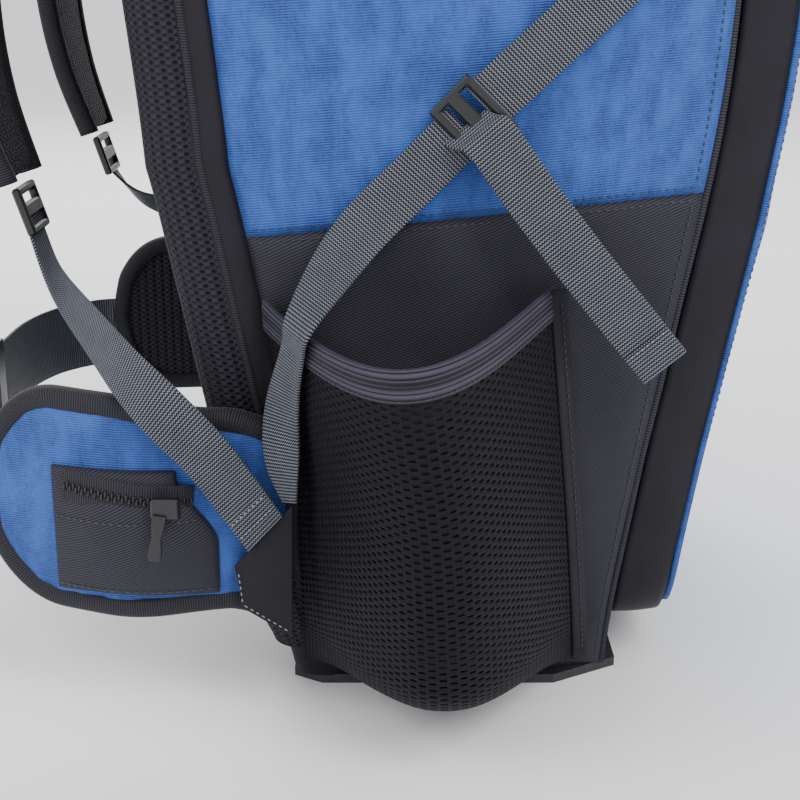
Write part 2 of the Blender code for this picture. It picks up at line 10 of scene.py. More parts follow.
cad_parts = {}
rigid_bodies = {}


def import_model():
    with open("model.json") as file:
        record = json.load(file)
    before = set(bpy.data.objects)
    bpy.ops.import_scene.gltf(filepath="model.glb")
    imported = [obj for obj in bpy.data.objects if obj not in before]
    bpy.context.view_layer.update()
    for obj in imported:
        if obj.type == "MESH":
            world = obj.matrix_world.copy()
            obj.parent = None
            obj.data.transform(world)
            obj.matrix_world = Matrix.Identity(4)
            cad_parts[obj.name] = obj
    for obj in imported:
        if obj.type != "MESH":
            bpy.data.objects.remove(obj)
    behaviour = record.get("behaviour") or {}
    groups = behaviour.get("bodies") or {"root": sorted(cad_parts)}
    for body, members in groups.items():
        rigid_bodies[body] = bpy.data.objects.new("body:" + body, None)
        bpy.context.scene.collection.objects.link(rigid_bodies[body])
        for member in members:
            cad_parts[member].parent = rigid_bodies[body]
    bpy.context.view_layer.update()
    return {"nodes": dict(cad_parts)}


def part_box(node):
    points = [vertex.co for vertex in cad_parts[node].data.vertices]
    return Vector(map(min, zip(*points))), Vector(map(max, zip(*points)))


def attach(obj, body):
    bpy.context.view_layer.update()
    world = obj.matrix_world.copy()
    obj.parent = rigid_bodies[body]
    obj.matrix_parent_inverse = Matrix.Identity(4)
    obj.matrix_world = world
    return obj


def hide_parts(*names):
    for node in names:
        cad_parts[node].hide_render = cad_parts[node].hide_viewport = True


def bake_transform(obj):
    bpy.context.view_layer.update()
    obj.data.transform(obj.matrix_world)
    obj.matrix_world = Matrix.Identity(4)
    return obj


for item in list(bpy.data.objects):
    bpy.data.objects.remove(item, do_unlink=True)
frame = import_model()

# Studio. A pale seamless floor, an even white sky and two large soft lamps, with the camera level with
# the bottle pocket on the wearer's left and tipped 17 degrees down.
camera_tilt = math.radians(17.0)
camera_data = bpy.data.cameras.new("camera")
camera_data.lens = 67.5
camera_data.sensor_width = 36.0
camera = bpy.data.objects.new("camera", camera_data)
camera.location = (-0.7024, 0.0150, 0.3010)
camera.rotation_euler = (math.radians(90.0) - camera_tilt, 0.0, math.radians(-90.0))
bpy.context.scene.collection.objects.link(camera)
bpy.context.scene.camera = camera

world = bpy.data.worlds.new("studio")
world.use_nodes = True
world.node_tree.nodes["Background"].inputs["Color"].default_value = (0.93, 0.94, 0.96, 1.0)
world.node_tree.nodes["Background"].inputs["Strength"].default_value = 1.3
bpy.context.scene.world = world
LAMPS = (
    ("front_lamp", (-1.3, -0.9, 1.5), 24.0, 0.9),
    ("back_lamp", (-0.9, 1.2, 1.2), 13.0, 0.8),
    ("far_lamp", (1.4, 0.4, 1.3), 22.0, 1.0),
)
for lamp_name, lamp_place, lamp_power, lamp_size in LAMPS:
    lamp_data = bpy.data.lights.new(lamp_name, "AREA")
    lamp_data.energy = lamp_power
    lamp_data.size = lamp_size
    lamp = bpy.data.objects.new(lamp_name, lamp_data)
    lamp.location = lamp_place
    lamp.rotation_euler = (Vector(lamp_place) - Vector((0.0, 0.0, 0.2))).to_track_quat("Z", "Y").to_euler()
    bpy.context.scene.collection.objects.link(lamp)


def linear(code):
    """An sRGB hex colour as linear red, green, blue and alpha."""
    channels = [int(code[place : place + 2], 16) / 255 for place in (1, 3, 5)]
    return (*[c / 12.92 if c <= 0.04045 else ((c + 0.055) / 1.055) ** 2.4 for c in channels], 1.0)


def add(tree, kind, inputs, **settings):
    """Adds a shader node, sets or links its inputs and gives back its outputs."""
    made = tree.nodes.new("ShaderNode" + kind)
    for key, value in settings.items():
        setattr(made, key, value)
    for key, value in inputs.items():
        if isinstance(value, bpy.types.NodeSocket):
            tree.links.new(value, made.inputs[key])
        else:
            made.inputs[key].default_value = value
    return made.outputs


def new_material(name, roughness, **sockets):
    """A Principled material, with its tree and its shader."""
    material = bpy.data.materials.new(name)
    material.use_nodes = True
    shader = material.node_tree.nodes["Principled BSDF"]
    shader.inputs["Roughness"].default_value = roughness
    for key, value in sockets.items():
        shader.inputs[key.replace("_", " ")].default_value = value
    return material, material.node_tree, shader


# painted studio floor: matt and pale, with the faintest cloudiness
floor_mesh = bpy.data.meshes.new("floor")
floor_bm = bmesh.new()
bmesh.ops.create_grid(floor_bm, x_segments=1, y_segments=1, size=20.0)
floor_bm.to_mesh(floor_mesh)
floor_bm.free()
floor = bpy.data.objects.new("floor", floor_mesh)
bpy.context.scene.collection.objects.link(floor)
paint, tree, shader = new_material("matt_floor_paint", 0.9)
place = add(tree, "TexCoord", {})["Object"]
cloud = add(tree, "TexNoise", {"Vector": place, "Scale": 3.0, "Detail": 2.0})["Fac"]
shade = add(tree, "Mix", {0: cloud, 6: linear("#F2F2F3"), 7: linear("#F8F8F9")}, data_type="RGBA")[2]
tree.links.new(shade, shader.inputs["Base Color"])
floor_mesh.materials.append(paint)

# Bag shell. The side panels are two cloths sewn in line: heathered blue nylon above and dark twill
# below, over a smooth dark band that wraps the foam of the back. Seams are pulled in a little.
BODY_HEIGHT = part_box("back_panel")[1].z
BASE_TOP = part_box("base_panel")[1].z
SEAM_DIP = 0.0016  # how far a seam pulls the cloth in


def ease(t):
    """A smooth step from 0 to 1."""
    t = min(max(t, 0.0), 1.0)
    return t * t * (3 - 2 * t)


def half_width(z):
    """Half the bag's width at height z; it widens upwards and draws in a little at the mouth."""
    return 0.118 + 0.025 * ease((z + 0.05) / 0.15) - 0.006 * ease((z - 0.30) / 0.15)


def back_seam(z):
    """Where the side panel meets the foam-filled band of the back."""
    return 0.034 + 0.2 * min(z, 0.22) + 0.010 * ease((z - 0.20) / 0.14)


def front_seam(z):
    """Where the side panel meets the front wall."""
    return -(0.070 + 0.038 * ease(z / 0.30) - 0.008 * ease((z - 0.32) / 0.13))


def ripple(y, z, size, depth, seed=0.0):
    """The small unevenness of sewn cloth; size is the width of a ripple."""
    return depth * noise.noise(Vector((y / size, z / size, seed)))


def near_edge(share, length, reach):
    """1 at either end of a span of this length, falling to 0 within reach of it."""
    away = min(share, 1 - share) * length
    return 1 - ease(away / reach)


def put(bm, name, looks, body, nodes=(), smooth=True):
    """Makes the finished mesh a piece that rides on a body and stands for its CAD nodes."""
    mesh = bpy.data.meshes.new(name)
    bm.to_mesh(mesh)
    bm.free()
    for look in looks:
        mesh.materials.append(look)
    if smooth:
        mesh.shade_smooth()
    piece = bpy.data.objects.new(name, mesh)
    bpy.context.scene.collection.objects.link(piece)
    if body:
        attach(piece, body)
    if nodes:
        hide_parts(*nodes)
    return piece


def cut_cloth(surface, across, along, outward=None):
    """A grid laid on surface(u, v), with a UV map in metres; its faces turn towards outward."""
    bm = bmesh.new()
    bmesh.ops.create_grid(bm, x_segments=across, y_segments=along, size=0.5, calc_uvs=False)
    shares = {vert: (vert.co.x + 0.5, vert.co.y + 0.5) for vert in bm.verts}
    middle_u = [surface(step / 40, 0.5) for step in range(41)]
    middle_v = [surface(0.5, step / 40) for step in range(41)]
    width = sum((b - a).length for a, b in zip(middle_u, middle_u[1:]))
    length = sum((b - a).length for a, b in zip(middle_v, middle_v[1:]))
    uv = bm.loops.layers.uv.new("metres")
    for face in bm.faces:
        for loop in face.loops:
            u, v = shares[loop.vert]
            loop[uv].uv = (u * width, v * length)
    for vert, (u, v) in shares.items():
        vert.co = surface(u, v)
    bm.normal_update()
    if outward is not None:
        middle = min(bm.faces, key=lambda face: (face.calc_center_median() - surface(0.5, 0.5)).length)
        if middle.normal.dot(Vector(outward)) < 0:
            bmesh.ops.reverse_faces(bm, faces=bm.faces)
    return bm, width, length


def thicken(piece, thickness, offset=0.0, inner=0, rim=0):
    """Gives a cloth its thickness; inner and rim pick the material of its inside and its edge."""
    wall = piece.modifiers.new("wall", "SOLIDIFY")
    wall.thickness = thickness
    wall.offset = offset
    wall.material_offset = inner
    wall.material_offset_rim = rim
    return piece


def millimetres(tree):
    """The piece's UV map, read in millimetres."""
    uv = add(tree, "TexCoord", {})["UV"]
    return add(tree, "Mapping", {"Vector": uv, "Scale": (1000.0, 1000.0, 1000.0)})["Vector"]


BAND_PERIOD = math.pi / 10  # a band texture at scale 1 repeats this often


def heathered_nylon():
    """Brushed blue nylon: fine pale ribs 0.9 mm apart, uneven dye and a short nap that streaks upwards."""
    material, tree, shader = new_material(
        "heathered_blue_nylon",
        0.66,
        Sheen_Weight=0.12,
        Sheen_Roughness=0.4,
        Specular_IOR_Level=0.3,
        Sheen_Tint=linear("#8FB2F0"),
    )
    place = millimetres(tree)
    stretched = add(tree, "Mapping", {"Vector": place, "Scale": (1.0, 0.45, 1.0)})["Vector"]
    fleck = add(tree, "TexNoise", {"Vector": stretched, "Scale": 0.9, "Detail": 4.0, "Roughness": 0.7})["Fac"]
    cloud = add(tree, "TexNoise", {"Vector": stretched, "Scale": 0.10, "Detail": 4.0, "Roughness": 0.6})["Fac"]
    rib = add(
        tree,
        "TexWave",
        {"Vector": place, "Scale": BAND_PERIOD / 0.95, "Distortion": 1.0, "Detail": 2.0},
        bands_direction="Y",
    )["Fac"]
    fleck_share = add(tree, "MapRange", {"Value": fleck, "From Min": 0.34, "From Max": 0.68})[0]
    cloud_share = add(tree, "MapRange", {"Value": cloud, "From Min": 0.38, "From Max": 0.62, "To Max": 0.6})[0]
    rib_share = add(tree, "MapRange", {"Value": rib, "To Max": 0.40})[0]
    dyed = add(tree, "Mix", {0: fleck_share, 6: linear("#0E2154"), 7: linear("#213F84")}, data_type="RGBA")[2]
    worn = add(tree, "Mix", {0: cloud_share, 6: dyed, 7: linear("#345CA8")}, data_type="RGBA")[2]
    ribbed = add(tree, "Mix", {0: rib_share, 6: worn, 7: linear("#4470C0")}, data_type="RGBA")[2]
    tree.links.new(ribbed, shader.inputs["Base Color"])
    nap = add(tree, "Math", {0: fleck, 1: rib}, operation="ADD")[0]
    bump = add(tree, "Bump", {"Height": nap, "Strength": 0.5, "Distance": 0.0004})["Normal"]
    tree.links.new(bump, shader.inputs["Normal"])
    return material


def dark_twill():
    """Dyed polyester twill: slanted ribs on a purple-grey ground, drawn 1.05 mm apart so that they show."""
    material, tree, shader = new_material(
        "dark_twill",
        0.68,
        Sheen_Weight=0.08,
        Sheen_Roughness=0.5,
        Specular_IOR_Level=0.25,
        Sheen_Tint=linear("#8C88A0"),
    )
    place = millimetres(tree)
    turned = add(tree, "Mapping", {"Vector": place, "Rotation": (0.0, 0.0, math.radians(22.0))})["Vector"]
    rib = add(
        tree,
        "TexWave",
        {"Vector": turned, "Scale": BAND_PERIOD / 1.05, "Distortion": 0.5, "Detail": 1.0},
        bands_direction="Y",
    )["Fac"]
    cloud = add(tree, "TexNoise", {"Vector": place, "Scale": 0.05, "Detail": 3.0})["Fac"]
    ribbed = add(tree, "Mix", {0: rib, 6: linear("#08080B"), 7: linear("#3A3845")}, data_type="RGBA")[2]
    veil = add(tree, "MapRange", {"Value": cloud, "To Max": 0.55})[0]
    shade = add(tree, "Mix", {0: veil, 6: ribbed, 7: linear("#16151B")}, data_type="RGBA")[2]
    tree.links.new(shade, shader.inputs["Base Color"])
    bump = add(tree, "Bump", {"Height": rib, "Strength": 0.35, "Distance": 0.0003})["Normal"]
    tree.links.new(bump, shader.inputs["Normal"])
    return material


def smooth_lining():
    """Close-woven polyester lining: near black, with a soft low sheen and a thread too fine to see."""
    material, tree, shader = new_material(
        "smooth_dark_lining",
        0.58,
        Sheen_Weight=0.06,
        Sheen_Roughness=0.4,
        Specular_IOR_Level=0.2,
        Sheen_Tint=linear("#7A7A8C"),
    )
    place = millimetres(tree)
    grain = add(tree, "TexNoise", {"Vector": place, "Scale": 0.9, "Detail": 3.0})["Fac"]
    cloud = add(tree, "TexNoise", {"Vector": place, "Scale": 0.04, "Detail": 2.0})["Fac"]
    shade = add(tree, "Mix", {0: cloud, 6: linear("#0F0E13"), 7: linear("#1D1B23")}, data_type="RGBA")[2]
    tree.links.new(shade, shader.inputs["Base Color"])
    bump = add(tree, "Bump", {"Height": grain, "Strength": 0.25, "Distance": 0.0003})["Normal"]
    tree.links.new(bump, shader.inputs["Normal"])
    return material


BLUE = heathered_nylon()
TWILL = dark_twill()
LINING = smooth_lining()
PANEL = 0.0024  # cloth and its lining together


def seam_height(u):
    """Where the blue side panel meets the dark one, from the front seam to the back seam."""
    return 0.194 + 0.016 * (1 - u)


def side_surface(side, low, high, seed):
    """The side panel between two heights, with its seams pulled in and its cloth slightly slack."""

    def surface(u, v):
        bottom, top = low(u), high(u)
        z = bottom + (top - bottom) * v
        front, back = front_seam(z), back_seam(z)
        y = front + (back - front) * u
        x = half_width(z) - 0.008 * (1 - u) ** 2 + 0.003 * math.sin(math.pi * u)
        slack = ripple(y, z, 0.045, 0.0016, seed) + ripple(y, z, 0.018, 0.0006, seed)
        held = max(near_edge(u, back - front, 0.012), near_edge(v, top - bottom, 0.010))
        x += slack * (1 - held) - SEAM_DIP * max(
            near_edge(u, back - front, 0.004), near_edge(v, top - bottom, 0.004)
        )
        return Vector((side * x, y, z))

    return surface


for side, word in ((-1, "left"), (1, "right")):
    surface = side_surface(side, lambda u: BASE_TOP, seam_height, 1.0)
    bm, width, length = cut_cloth(surface, 60, 64, (side, 0, 0))
    piece = put(bm, f"side_twill_{word}", [TWILL, LINING], "pack", [f"side_lower_{word}"])
    thicken(piece, PANEL, inner=1)
    surface = side_surface(side, seam_height, lambda u: BODY_HEIGHT, 2.0)
    bm, width, length = cut_cloth(surface, 60, 70, (side, 0, 0))
    piece = put(bm, f"side_nylon_{word}", [BLUE, LINING], "pack", [f"side_upper_{word}"])
    thicken(piece, PANEL, inner=1)


def back_shell(u, v):
    """The back: a foam-filled band 24 mm deep up each side, and the flat wall between them."""
    z = BASE_TOP + (BODY_HEIGHT - BASE_TOP) * v
    reach = half_width(z) - 0.0004
    start = back_seam(z) + 0.0004
    depth = 0.0232
    corner = 0.008
    wall = 2 * (reach - corner)
    run = 2 * (depth - corner) + math.pi * corner + wall
    along = u * run
    mirrored = along > run / 2
    if mirrored:
        along = run - along
    if along < depth - corner:
        bulge = 0.0022 * math.sin(math.pi * min(along / depth, 1.0)) - SEAM_DIP * (1 - ease(along / 0.004))
        x, y = reach + bulge, start + along
    elif along < depth - corner + math.pi / 2 * corner:
        angle = (along - depth + corner) / corner
        x = reach - corner + corner * math.cos(angle) + 0.0022 * math.sin(math.pi * (depth - corner) / depth)
        y = start + depth - corner + corner * math.sin(angle)
    else:
        x = reach - corner - (along - (depth - corner) - math.pi / 2 * corner)
        y = start + depth
    x += ripple(y, z, 0.03, 0.0007, 4.0)
    return Vector((x if mirrored else -x, y, z))


bm, width, length = cut_cloth(back_shell, 120, 90, (0, 1, 0))
piece = put(bm, "back_cover", [LINING], "pack", ["back_panel"])
thicken(piece, PANEL)


def front_wall_surface(u, v):
    z = BASE_TOP + (BODY_HEIGHT - BASE_TOP) * v
    reach = half_width(z) - 0.0085
    x = -reach + 2 * reach * u
    return Vector((x, front_seam(z) - 0.0018 + ripple(x, z, 0.05, 0.0008, 5.0), z))


bm, width, length = cut_cloth(front_wall_surface, 40, 60, (0, -1, 0))
piece = put(bm, "front_wall_twill", [TWILL], "pack", ["front_wall"])
thicken(piece, PANEL)

# Front pocket. A smooth dark gusset 21 mm deep runs down, under and up again, and a blue face is sewn to
# its outer edge; the top is left open and hemmed with a folded tape.
POCKET_TOP = 0.395


def gusset_line(u):
    """The front pocket's gusset seen from the front: down one side, along the bottom and up the other."""
    low, corner = 0.022, 0.030
    straight = POCKET_TOP - low - corner
    arc = corner * math.pi / 2
    bottom = 2 * (half_width(low) - 0.012 - corner)
    total = 2 * straight + 2 * arc + bottom
    place = u * total
    flip = -1
    if place > total / 2:
        place = total - place
        flip = 1
    if place <= straight:
        z = POCKET_TOP - place
        return flip * (half_width(z) - 0.012), z
    place -= straight
    if place <= arc:
        angle = place / corner
        reach = half_width(low + corner) - 0.012 - corner + corner * math.cos(angle)
        return flip * reach, low + corner - corner * math.sin(angle)
    return flip * max(bottom / 2 - place + arc, 0.0), low


def face_y(x, z):
    """The front pocket's face, full in the middle and flat at its seams."""
    across = 1 - min(abs(x) / 0.130, 1.0) ** 2
    along = math.sin(math.pi * (0.08 + 0.80 * ease(z / 0.42))) ** 0.7
    return front_seam(z) - 0.0262 - 0.020 * across * along


def gusset_surface(u, v):
    x, z = gusset_line(u)
    bow = 0.0014 * math.sin(math.pi * v) * (-1 if x < 0 else 1)
    y = front_seam(z) - 0.0040 - 0.0212 * v
    return Vector((x * (1 - 0.035 * v) + bow + ripple(y, z, 0.03, 0.0006, 6.0), y, z))


bm, width, length = cut_cloth(gusset_surface, 150, 8)
bmesh.ops.recalc_face_normals(bm, faces=bm.faces)
piece = put(bm, "front_pocket_gusset", [LINING], "pack", ["front_gusset"])
thicken(piece, PANEL)


def front_face_surface(u, v):
    z = 0.0200 + 0.3745 * v
    inset = 0.0
    if z < 0.052:
        inset = 0.030 - math.sqrt(max(0.030**2 - (0.052 - z) ** 2, 0.0))
    reach = (half_width(z) - 0.0125 - inset) * 0.978
    x = -reach + 2 * reach * u
    held = max(near_edge(u, 2 * reach, 0.016), near_edge(v, 0.375, 0.014))
    slack = ripple(x, z, 0.055, 0.0022, 7.0) + ripple(x, z, 0.020, 0.0007, 7.0)
    return Vector((x, face_y(x, z) + slack * (1 - held), z))


bm, width, length = cut_cloth(front_face_surface, 90, 120, (0, -1, 0))
piece = put(bm, "front_pocket_face", [BLUE, LINING], "pack", ["front_face"])
thicken(piece, PANEL, inner=1)


def bound_tape():
    """Grosgrain binding: a flat polyester tape with fine ribs across it, folded over a raw edge."""
    material, tree, shader = new_material("ribbed_binding_tape", 0.7, Sheen_Weight=0.05, Specular_IOR_Level=0.2)
    place = millimetres(tree)
    rib = add(
        tree, "TexWave", {"Vector": place, "Scale": BAND_PERIOD / 1.0, "Distortion": 0.4}, bands_direction="Y"
    )["Fac"]
    shade = add(tree, "Mix", {0: rib, 6: linear("#0B0B0E"), 7: linear("#2E2D35")}, data_type="RGBA")[2]
    tree.links.new(shade, shader.inputs["Base Color"])
    bump = add(tree, "Bump", {"Height": rib, "Strength": 0.5, "Distance": 0.0003})["Normal"]
    tree.links.new(bump, shader.inputs["Normal"])
    return material


def spun_thread(name, code):
    """Bonded nylon thread, with the slight unevenness of its twist."""
    material, tree, shader = new_material(name, 0.5)
    place = add(tree, "TexCoord", {})["Object"]
    twist = add(tree, "TexNoise", {"Vector": place, "Scale": 900.0})["Fac"]
    soft = add(tree, "MapRange", {"Value": twist, "To Max": 0.35})[0]
    shade = add(tree, "Mix", {0: soft, 6: linear(code), 7: linear("#5C5A66")}, data_type="RGBA")[2]
    tree.links.new(shade, shader.inputs["Base Color"])
    return material


TAPE = bound_tape()
DARK_THREAD = spun_thread("dark_bonded_thread", "#1B1A20")
PALE_THREAD = spun_thread("pale_bonded_thread", "#84828F")


def curve_point(points, t):
    """A point on the smooth curve through all the points, t from 0 to 1."""
    spans = len(points) - 1
    position = min(max(t, 0.0), 1.0) * spans
    index = min(int(position), spans - 1)
    local = position - index
    before, start = points[max(index - 1, 0)], points[index]
    end, after = points[index + 1], points[min(index + 2, spans)]
    return 0.5 * (
        2 * start
        + (end - before) * local
        + (2 * before - 5 * start + 4 * end - after) * local**2
        + (3 * start - before - 3 * end + after) * local**3
    )


def even_path(points, count):
    """The smooth curve through the points, as evenly spaced places along it."""
    fine = [curve_point(points, step / 400) for step in range(401)]
    run = [0.0]
    for a, b in zip(fine, fine[1:]):
        run.append(run[-1] + (b - a).length)
    places, index = [], 0
    for step in range(count + 1):
        goal = run[-1] * step / count
        while index < 399 and run[index + 1] < goal:
            index += 1
        part = (goal - run[index]) / max(run[index + 1] - run[index], 1e-9)
        places.append((index + min(part, 1.0)) / 400)
    return places, run[-1]


def bind(name, path, outward, across, half_width_mm, thick_mm, body, look=None):
    """A folded tape: an oval band swept along a path, its narrow side facing outward."""
    bm = bmesh.new()
    spots = [Vector(spot) for spot in path]
    sides = 12
    edges = []
    uv_places = {}
    run = 0.0
    for index, spot in enumerate(spots):
        if index:
            run += (spot - spots[index - 1]).length
        out = Vector(outward(index)).normalized()
        over = Vector(across(index)).normalized()
        ring = bmesh.ops.create_circle(bm, segments=sides, radius=1.0)["verts"]
        for step, vert in enumerate(ring):
            angle = 2 * math.pi * step / sides
            vert.co = (
                spot
                + out * (math.copysign(abs(math.sin(angle)) ** 0.7, math.sin(angle)) * thick_mm / 1000)
                + over * (math.copysign(abs(math.cos(angle)) ** 0.7, math.cos(angle)) * half_width_mm / 1000)
            )
            uv_places[vert] = (step / sides * 4 * half_width_mm / 1000, run)
        edges.append(list(dict.fromkeys(edge for vert in ring for edge in vert.link_edges)))
    for first, second in zip(edges, edges[1:]):
        bmesh.ops.bridge_loops(bm, edges=first + second)
    bmesh.ops.holes_fill(bm, edges=edges[0] + edges[-1], sides=sides)
    bmesh.ops.recalc_face_normals(bm, faces=bm.faces)
    uv = bm.loops.layers.uv.new("metres")
    for face in bm.faces:
        for loop in face.loops:
            loop[uv].uv = uv_places[loop.vert]
    return put(bm, name, [look or TAPE], body, ())


def sew(name, lines, body, look=None, pitch=0.0032, length=0.0021, thick=0.00032):
    """Rows of stitches; each line is a list of (place, outward) along the seam."""
    bm = bmesh.new()
    bmesh.ops.create_uvsphere(bm, u_segments=6, v_segments=4, radius=1.0)
    stitch = bpy.data.meshes.new(f"{name}_stitch")
    bm.to_mesh(stitch)
    bm.clear()
    for line in lines:
        run = 0.0
        due = pitch / 2
        for (a, out), (b, _) in zip(line, line[1:]):
            span = (b - a).length
            while due <= run + span and span > 0:
                place = a.lerp(b, (due - run) / span)
                along = (b - a).normalized()
                up = (Vector(out) - along * along.dot(Vector(out))).normalized()
                turn = Matrix((along, up.cross(along), up)).transposed().to_4x4()
                size = Matrix.Diagonal((length / 2, thick, thick * 0.8, 1.0))
                lay = Matrix.Translation(place) @ turn @ size
                stitch.transform(lay)
                bm.from_mesh(stitch)
                stitch.transform(lay.inverted())
                due += pitch
            run += span
    return put(bm, name, [look or DARK_THREAD], body, ())


def along_surface(surface, start, end, lift=0.0014, count=80, inward=(0, 0, 0)):
    """Places and outward directions on a straight run across surface(u, v), lifted off the cloth."""
    spots = []
    for step in range(count + 1):
        share = step / count
        u, v = start[0] + (end[0] - start[0]) * share, start[1] + (end[1] - start[1]) * share
        here = surface(u, v)
        du = surface(min(u + 0.01, 1), v) - surface(max(u - 0.01, 0), v)
        dv = surface(u, min(v + 0.01, 1)) - surface(u, max(v - 0.01, 0))
        out = du.cross(dv).normalized()
        if out.dot(here - Vector(inward)) < 0:
            out = -out
        spots.append((here + out * lift, out))
    return spots


# Seams of the bag shell. Each joint between two cloths is run twice on the sewing machine: a row of
# stitches lies 2.5 mm to either side of it, and the pocket's open top is bound with ribbed tape.
MIDDLE = (0.0, 0.0, 0.22)
for side, word in ((-1, "left"), (1, "right")):
    upper = side_surface(side, seam_height, lambda u: BODY_HEIGHT, 2.0)
    lower = side_surface(side, lambda u: BASE_TOP, seam_height, 1.0)
    rows = [
        along_surface(upper, (0.02, 0.012), (0.98, 0.012), inward=MIDDLE),
        along_surface(lower, (0.02, 0.985), (0.98, 0.985), inward=MIDDLE),
        along_surface(upper, (0.022, 0.02), (0.022, 0.98), count=140, inward=MIDDLE),
        along_surface(lower, (0.022, 0.02), (0.022, 0.98), count=100, inward=MIDDLE),
    ]
    sew(f"side_stitching_{word}", rows, "pack")
rows = [
    along_surface(front_face_surface, (0.02, 0.05), (0.02, 0.98), count=160, inward=MIDDLE),
    along_surface(front_face_surface, (0.98, 0.05), (0.98, 0.98), count=160, inward=MIDDLE),
    along_surface(front_face_surface, (0.10, 0.014), (0.90, 0.014), count=100, inward=MIDDLE),
]
sew("front_pocket_stitching", rows, "pack")
hem_path = [front_face_surface(0.01 + 0.98 * step / 60, 1.0) for step in range(61)]
bind("front_pocket_hem", hem_path, lambda i: (0, 0, 1), lambda i: (0, 1, 0), 2.4, 5.0, "pack")


def mouth_place(step):
    """The bag's open top edge, round its four sides."""
    z = BODY_HEIGHT - 0.003
    reach, front, back = half_width(z), front_seam(z) - 0.0005, back_seam(z) + 0.0225
    corners = [(-reach, front), (reach, front), (reach, back), (-reach, back)]
    lengths = [2 * reach, back - front, 2 * reach, back - front]
    goal = step * sum(lengths)
    for index, span in enumerate(lengths):
        if goal <= span or index == 3:
            a, b = Vector((*corners[index], z)), Vector((*corners[(index + 1) % 4], z))
            return a.lerp(b, min(goal / span, 1.0))
        goal -= span


mouth = [mouth_place(step / 120) for step in range(121)]
bind("mouth_binding", mouth, lambda i: (0, 0, 1), lambda i: mouth[i] - Vector((0, 0, mouth[i].z)), 2.2, 5.0, "pack")

# Base and frame sheet. The base is cloth coated with polyurethane, pebbled so that it doesn't slip, and
# the frame sheet is a plain black polypropylene board that slides into a sleeve behind the foam.
coated, tree, shader = new_material("pebbled_polyurethane_coating", 0.55)
place = add(tree, "TexCoord", {})["Object"]
pebble = add(tree, "TexVoronoi", {"Vector": place, "Scale": 420.0})["Distance"]
shade = add(tree, "Mix", {0: pebble, 6: linear("#1C1C20"), 7: linear("#2A2A2F")}, data_type="RGBA")[2]
tree.links.new(shade, shader.inputs["Base Color"])
bump = add(tree, "Bump", {"Height": pebble, "Strength": 0.5, "Distance": 0.0006})["Normal"]
tree.links.new(bump, shader.inputs["Normal"])
board, tree, shader = new_material("extruded_polypropylene_board", 0.45)
place = add(tree, "TexCoord", {})["Object"]
haze = add(tree, "TexNoise", {"Vector": place, "Scale": 120.0, "Detail": 3.0})["Fac"]
shade = add(tree, "Mix", {0: haze, 6: linear("#232326"), 7: linear("#303033")}, data_type="RGBA")[2]
tree.links.new(shade, shader.inputs["Base Color"])


def coat(node, look):
    """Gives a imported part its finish."""
    for item in frame["nodes"][node].material_slots:
        item.material = look


coat("base_panel", coated)
coat("frame_sheet", board)


# Bottle pockets. Each is one piece of knitted net, its holes 2.9 mm wide and 3.1 mm apart in staggered
# columns, gathered at the bottom and held open at the top by a band of ribbed elastic.
POCKET_BOTTOM = 0.014


def pocket_fill(z):
    """How far the pocket stands out at height z, as a share; it rounds in to its bottom seam."""
    t = min(max((z - POCKET_BOTTOM) / 0.030, 0.0), 1.0)
    return 0.05 + 0.95 * math.sqrt(1 - (1 - t) ** 2)


def pocket_place(side, s, z, out=0.0):
    """The pocket at height z, s from the back seam round to the front seam."""
    back = 0.055 + 0.0116 * ease((z - 0.09) / 0.08)
    front = -0.0433 - 0.0127 * (0.1766 - z) / 0.1286
    y = back + (front - back) * s
    x = half_width(z) + 0.0058 + 0.0785 * math.sin(math.pi * s) ** 1.1 * pocket_fill(z) + out
    return Vector((side * x, y, z))


def rim_height(s):
    """The pocket's top edge, which dips between its two seams."""
    return 0.1715 + 0.005 * s - 0.0082 * math.sin(math.pi * s**0.75)


def knit_net():
    """Knitted polyester net: soft black yarn, slightly furry where it catches the light."""
    material, tree, shader = new_material("knitted_polyester_net", 0.7, Specular_IOR_Level=0.15)
    place = add(tree, "TexCoord", {})["Object"]
    yarn = add(tree, "TexNoise", {"Vector": place, "Scale": 1400.0, "Detail": 3.0})["Fac"]
    shade = add(tree, "Mix", {0: yarn, 6: linear("#060609"), 7: linear("#14131A")}, data_type="RGBA")[2]
    tree.links.new(shade, shader.inputs["Base Color"])
    bump = add(tree, "Bump", {"Height": yarn, "Strength": 0.4, "Distance": 0.0003})["Normal"]
    tree.links.new(bump, shader.inputs["Normal"])
    return material


def woven_elastic():
    """Woven elastic: four rubber cores show as raised lines along it, under a purple-grey cover yarn."""
    material, tree, shader = new_material(
        "woven_elastic",
        0.62,
        Sheen_Weight=0.04,
        Specular_IOR_Level=0.25,
        Sheen_Tint=linear("#B8B0C8"),
    )
    place = millimetres(tree)
    line = add(tree, "TexWave", {"Vector": place, "Scale": BAND_PERIOD / 2.0}, bands_direction="Y")["Fac"]
    pick = add(
        tree, "TexWave", {"Vector": place, "Scale": BAND_PERIOD / 0.9, "Distortion": 0.4}, bands_direction="X"
    )["Fac"]
    height = add(tree, "Math", {0: pick, 1: 0.35, 2: line}, operation="MULTIPLY_ADD")[0]
    share = add(tree, "MapRange", {"Value": height, "From Min": 0.3, "From Max": 1.25})[0]
    shade = add(tree, "Mix", {0: share, 6: linear("#040407"), 7: linear("#403C4C")}, data_type="RGBA")[2]
    tree.links.new(shade, shader.inputs["Base Color"])
    bump = add(tree, "Bump", {"Height": height, "Strength": 0.5, "Distance": 0.0004})["Normal"]
    tree.links.new(bump, shader.inputs["Normal"])
    return material


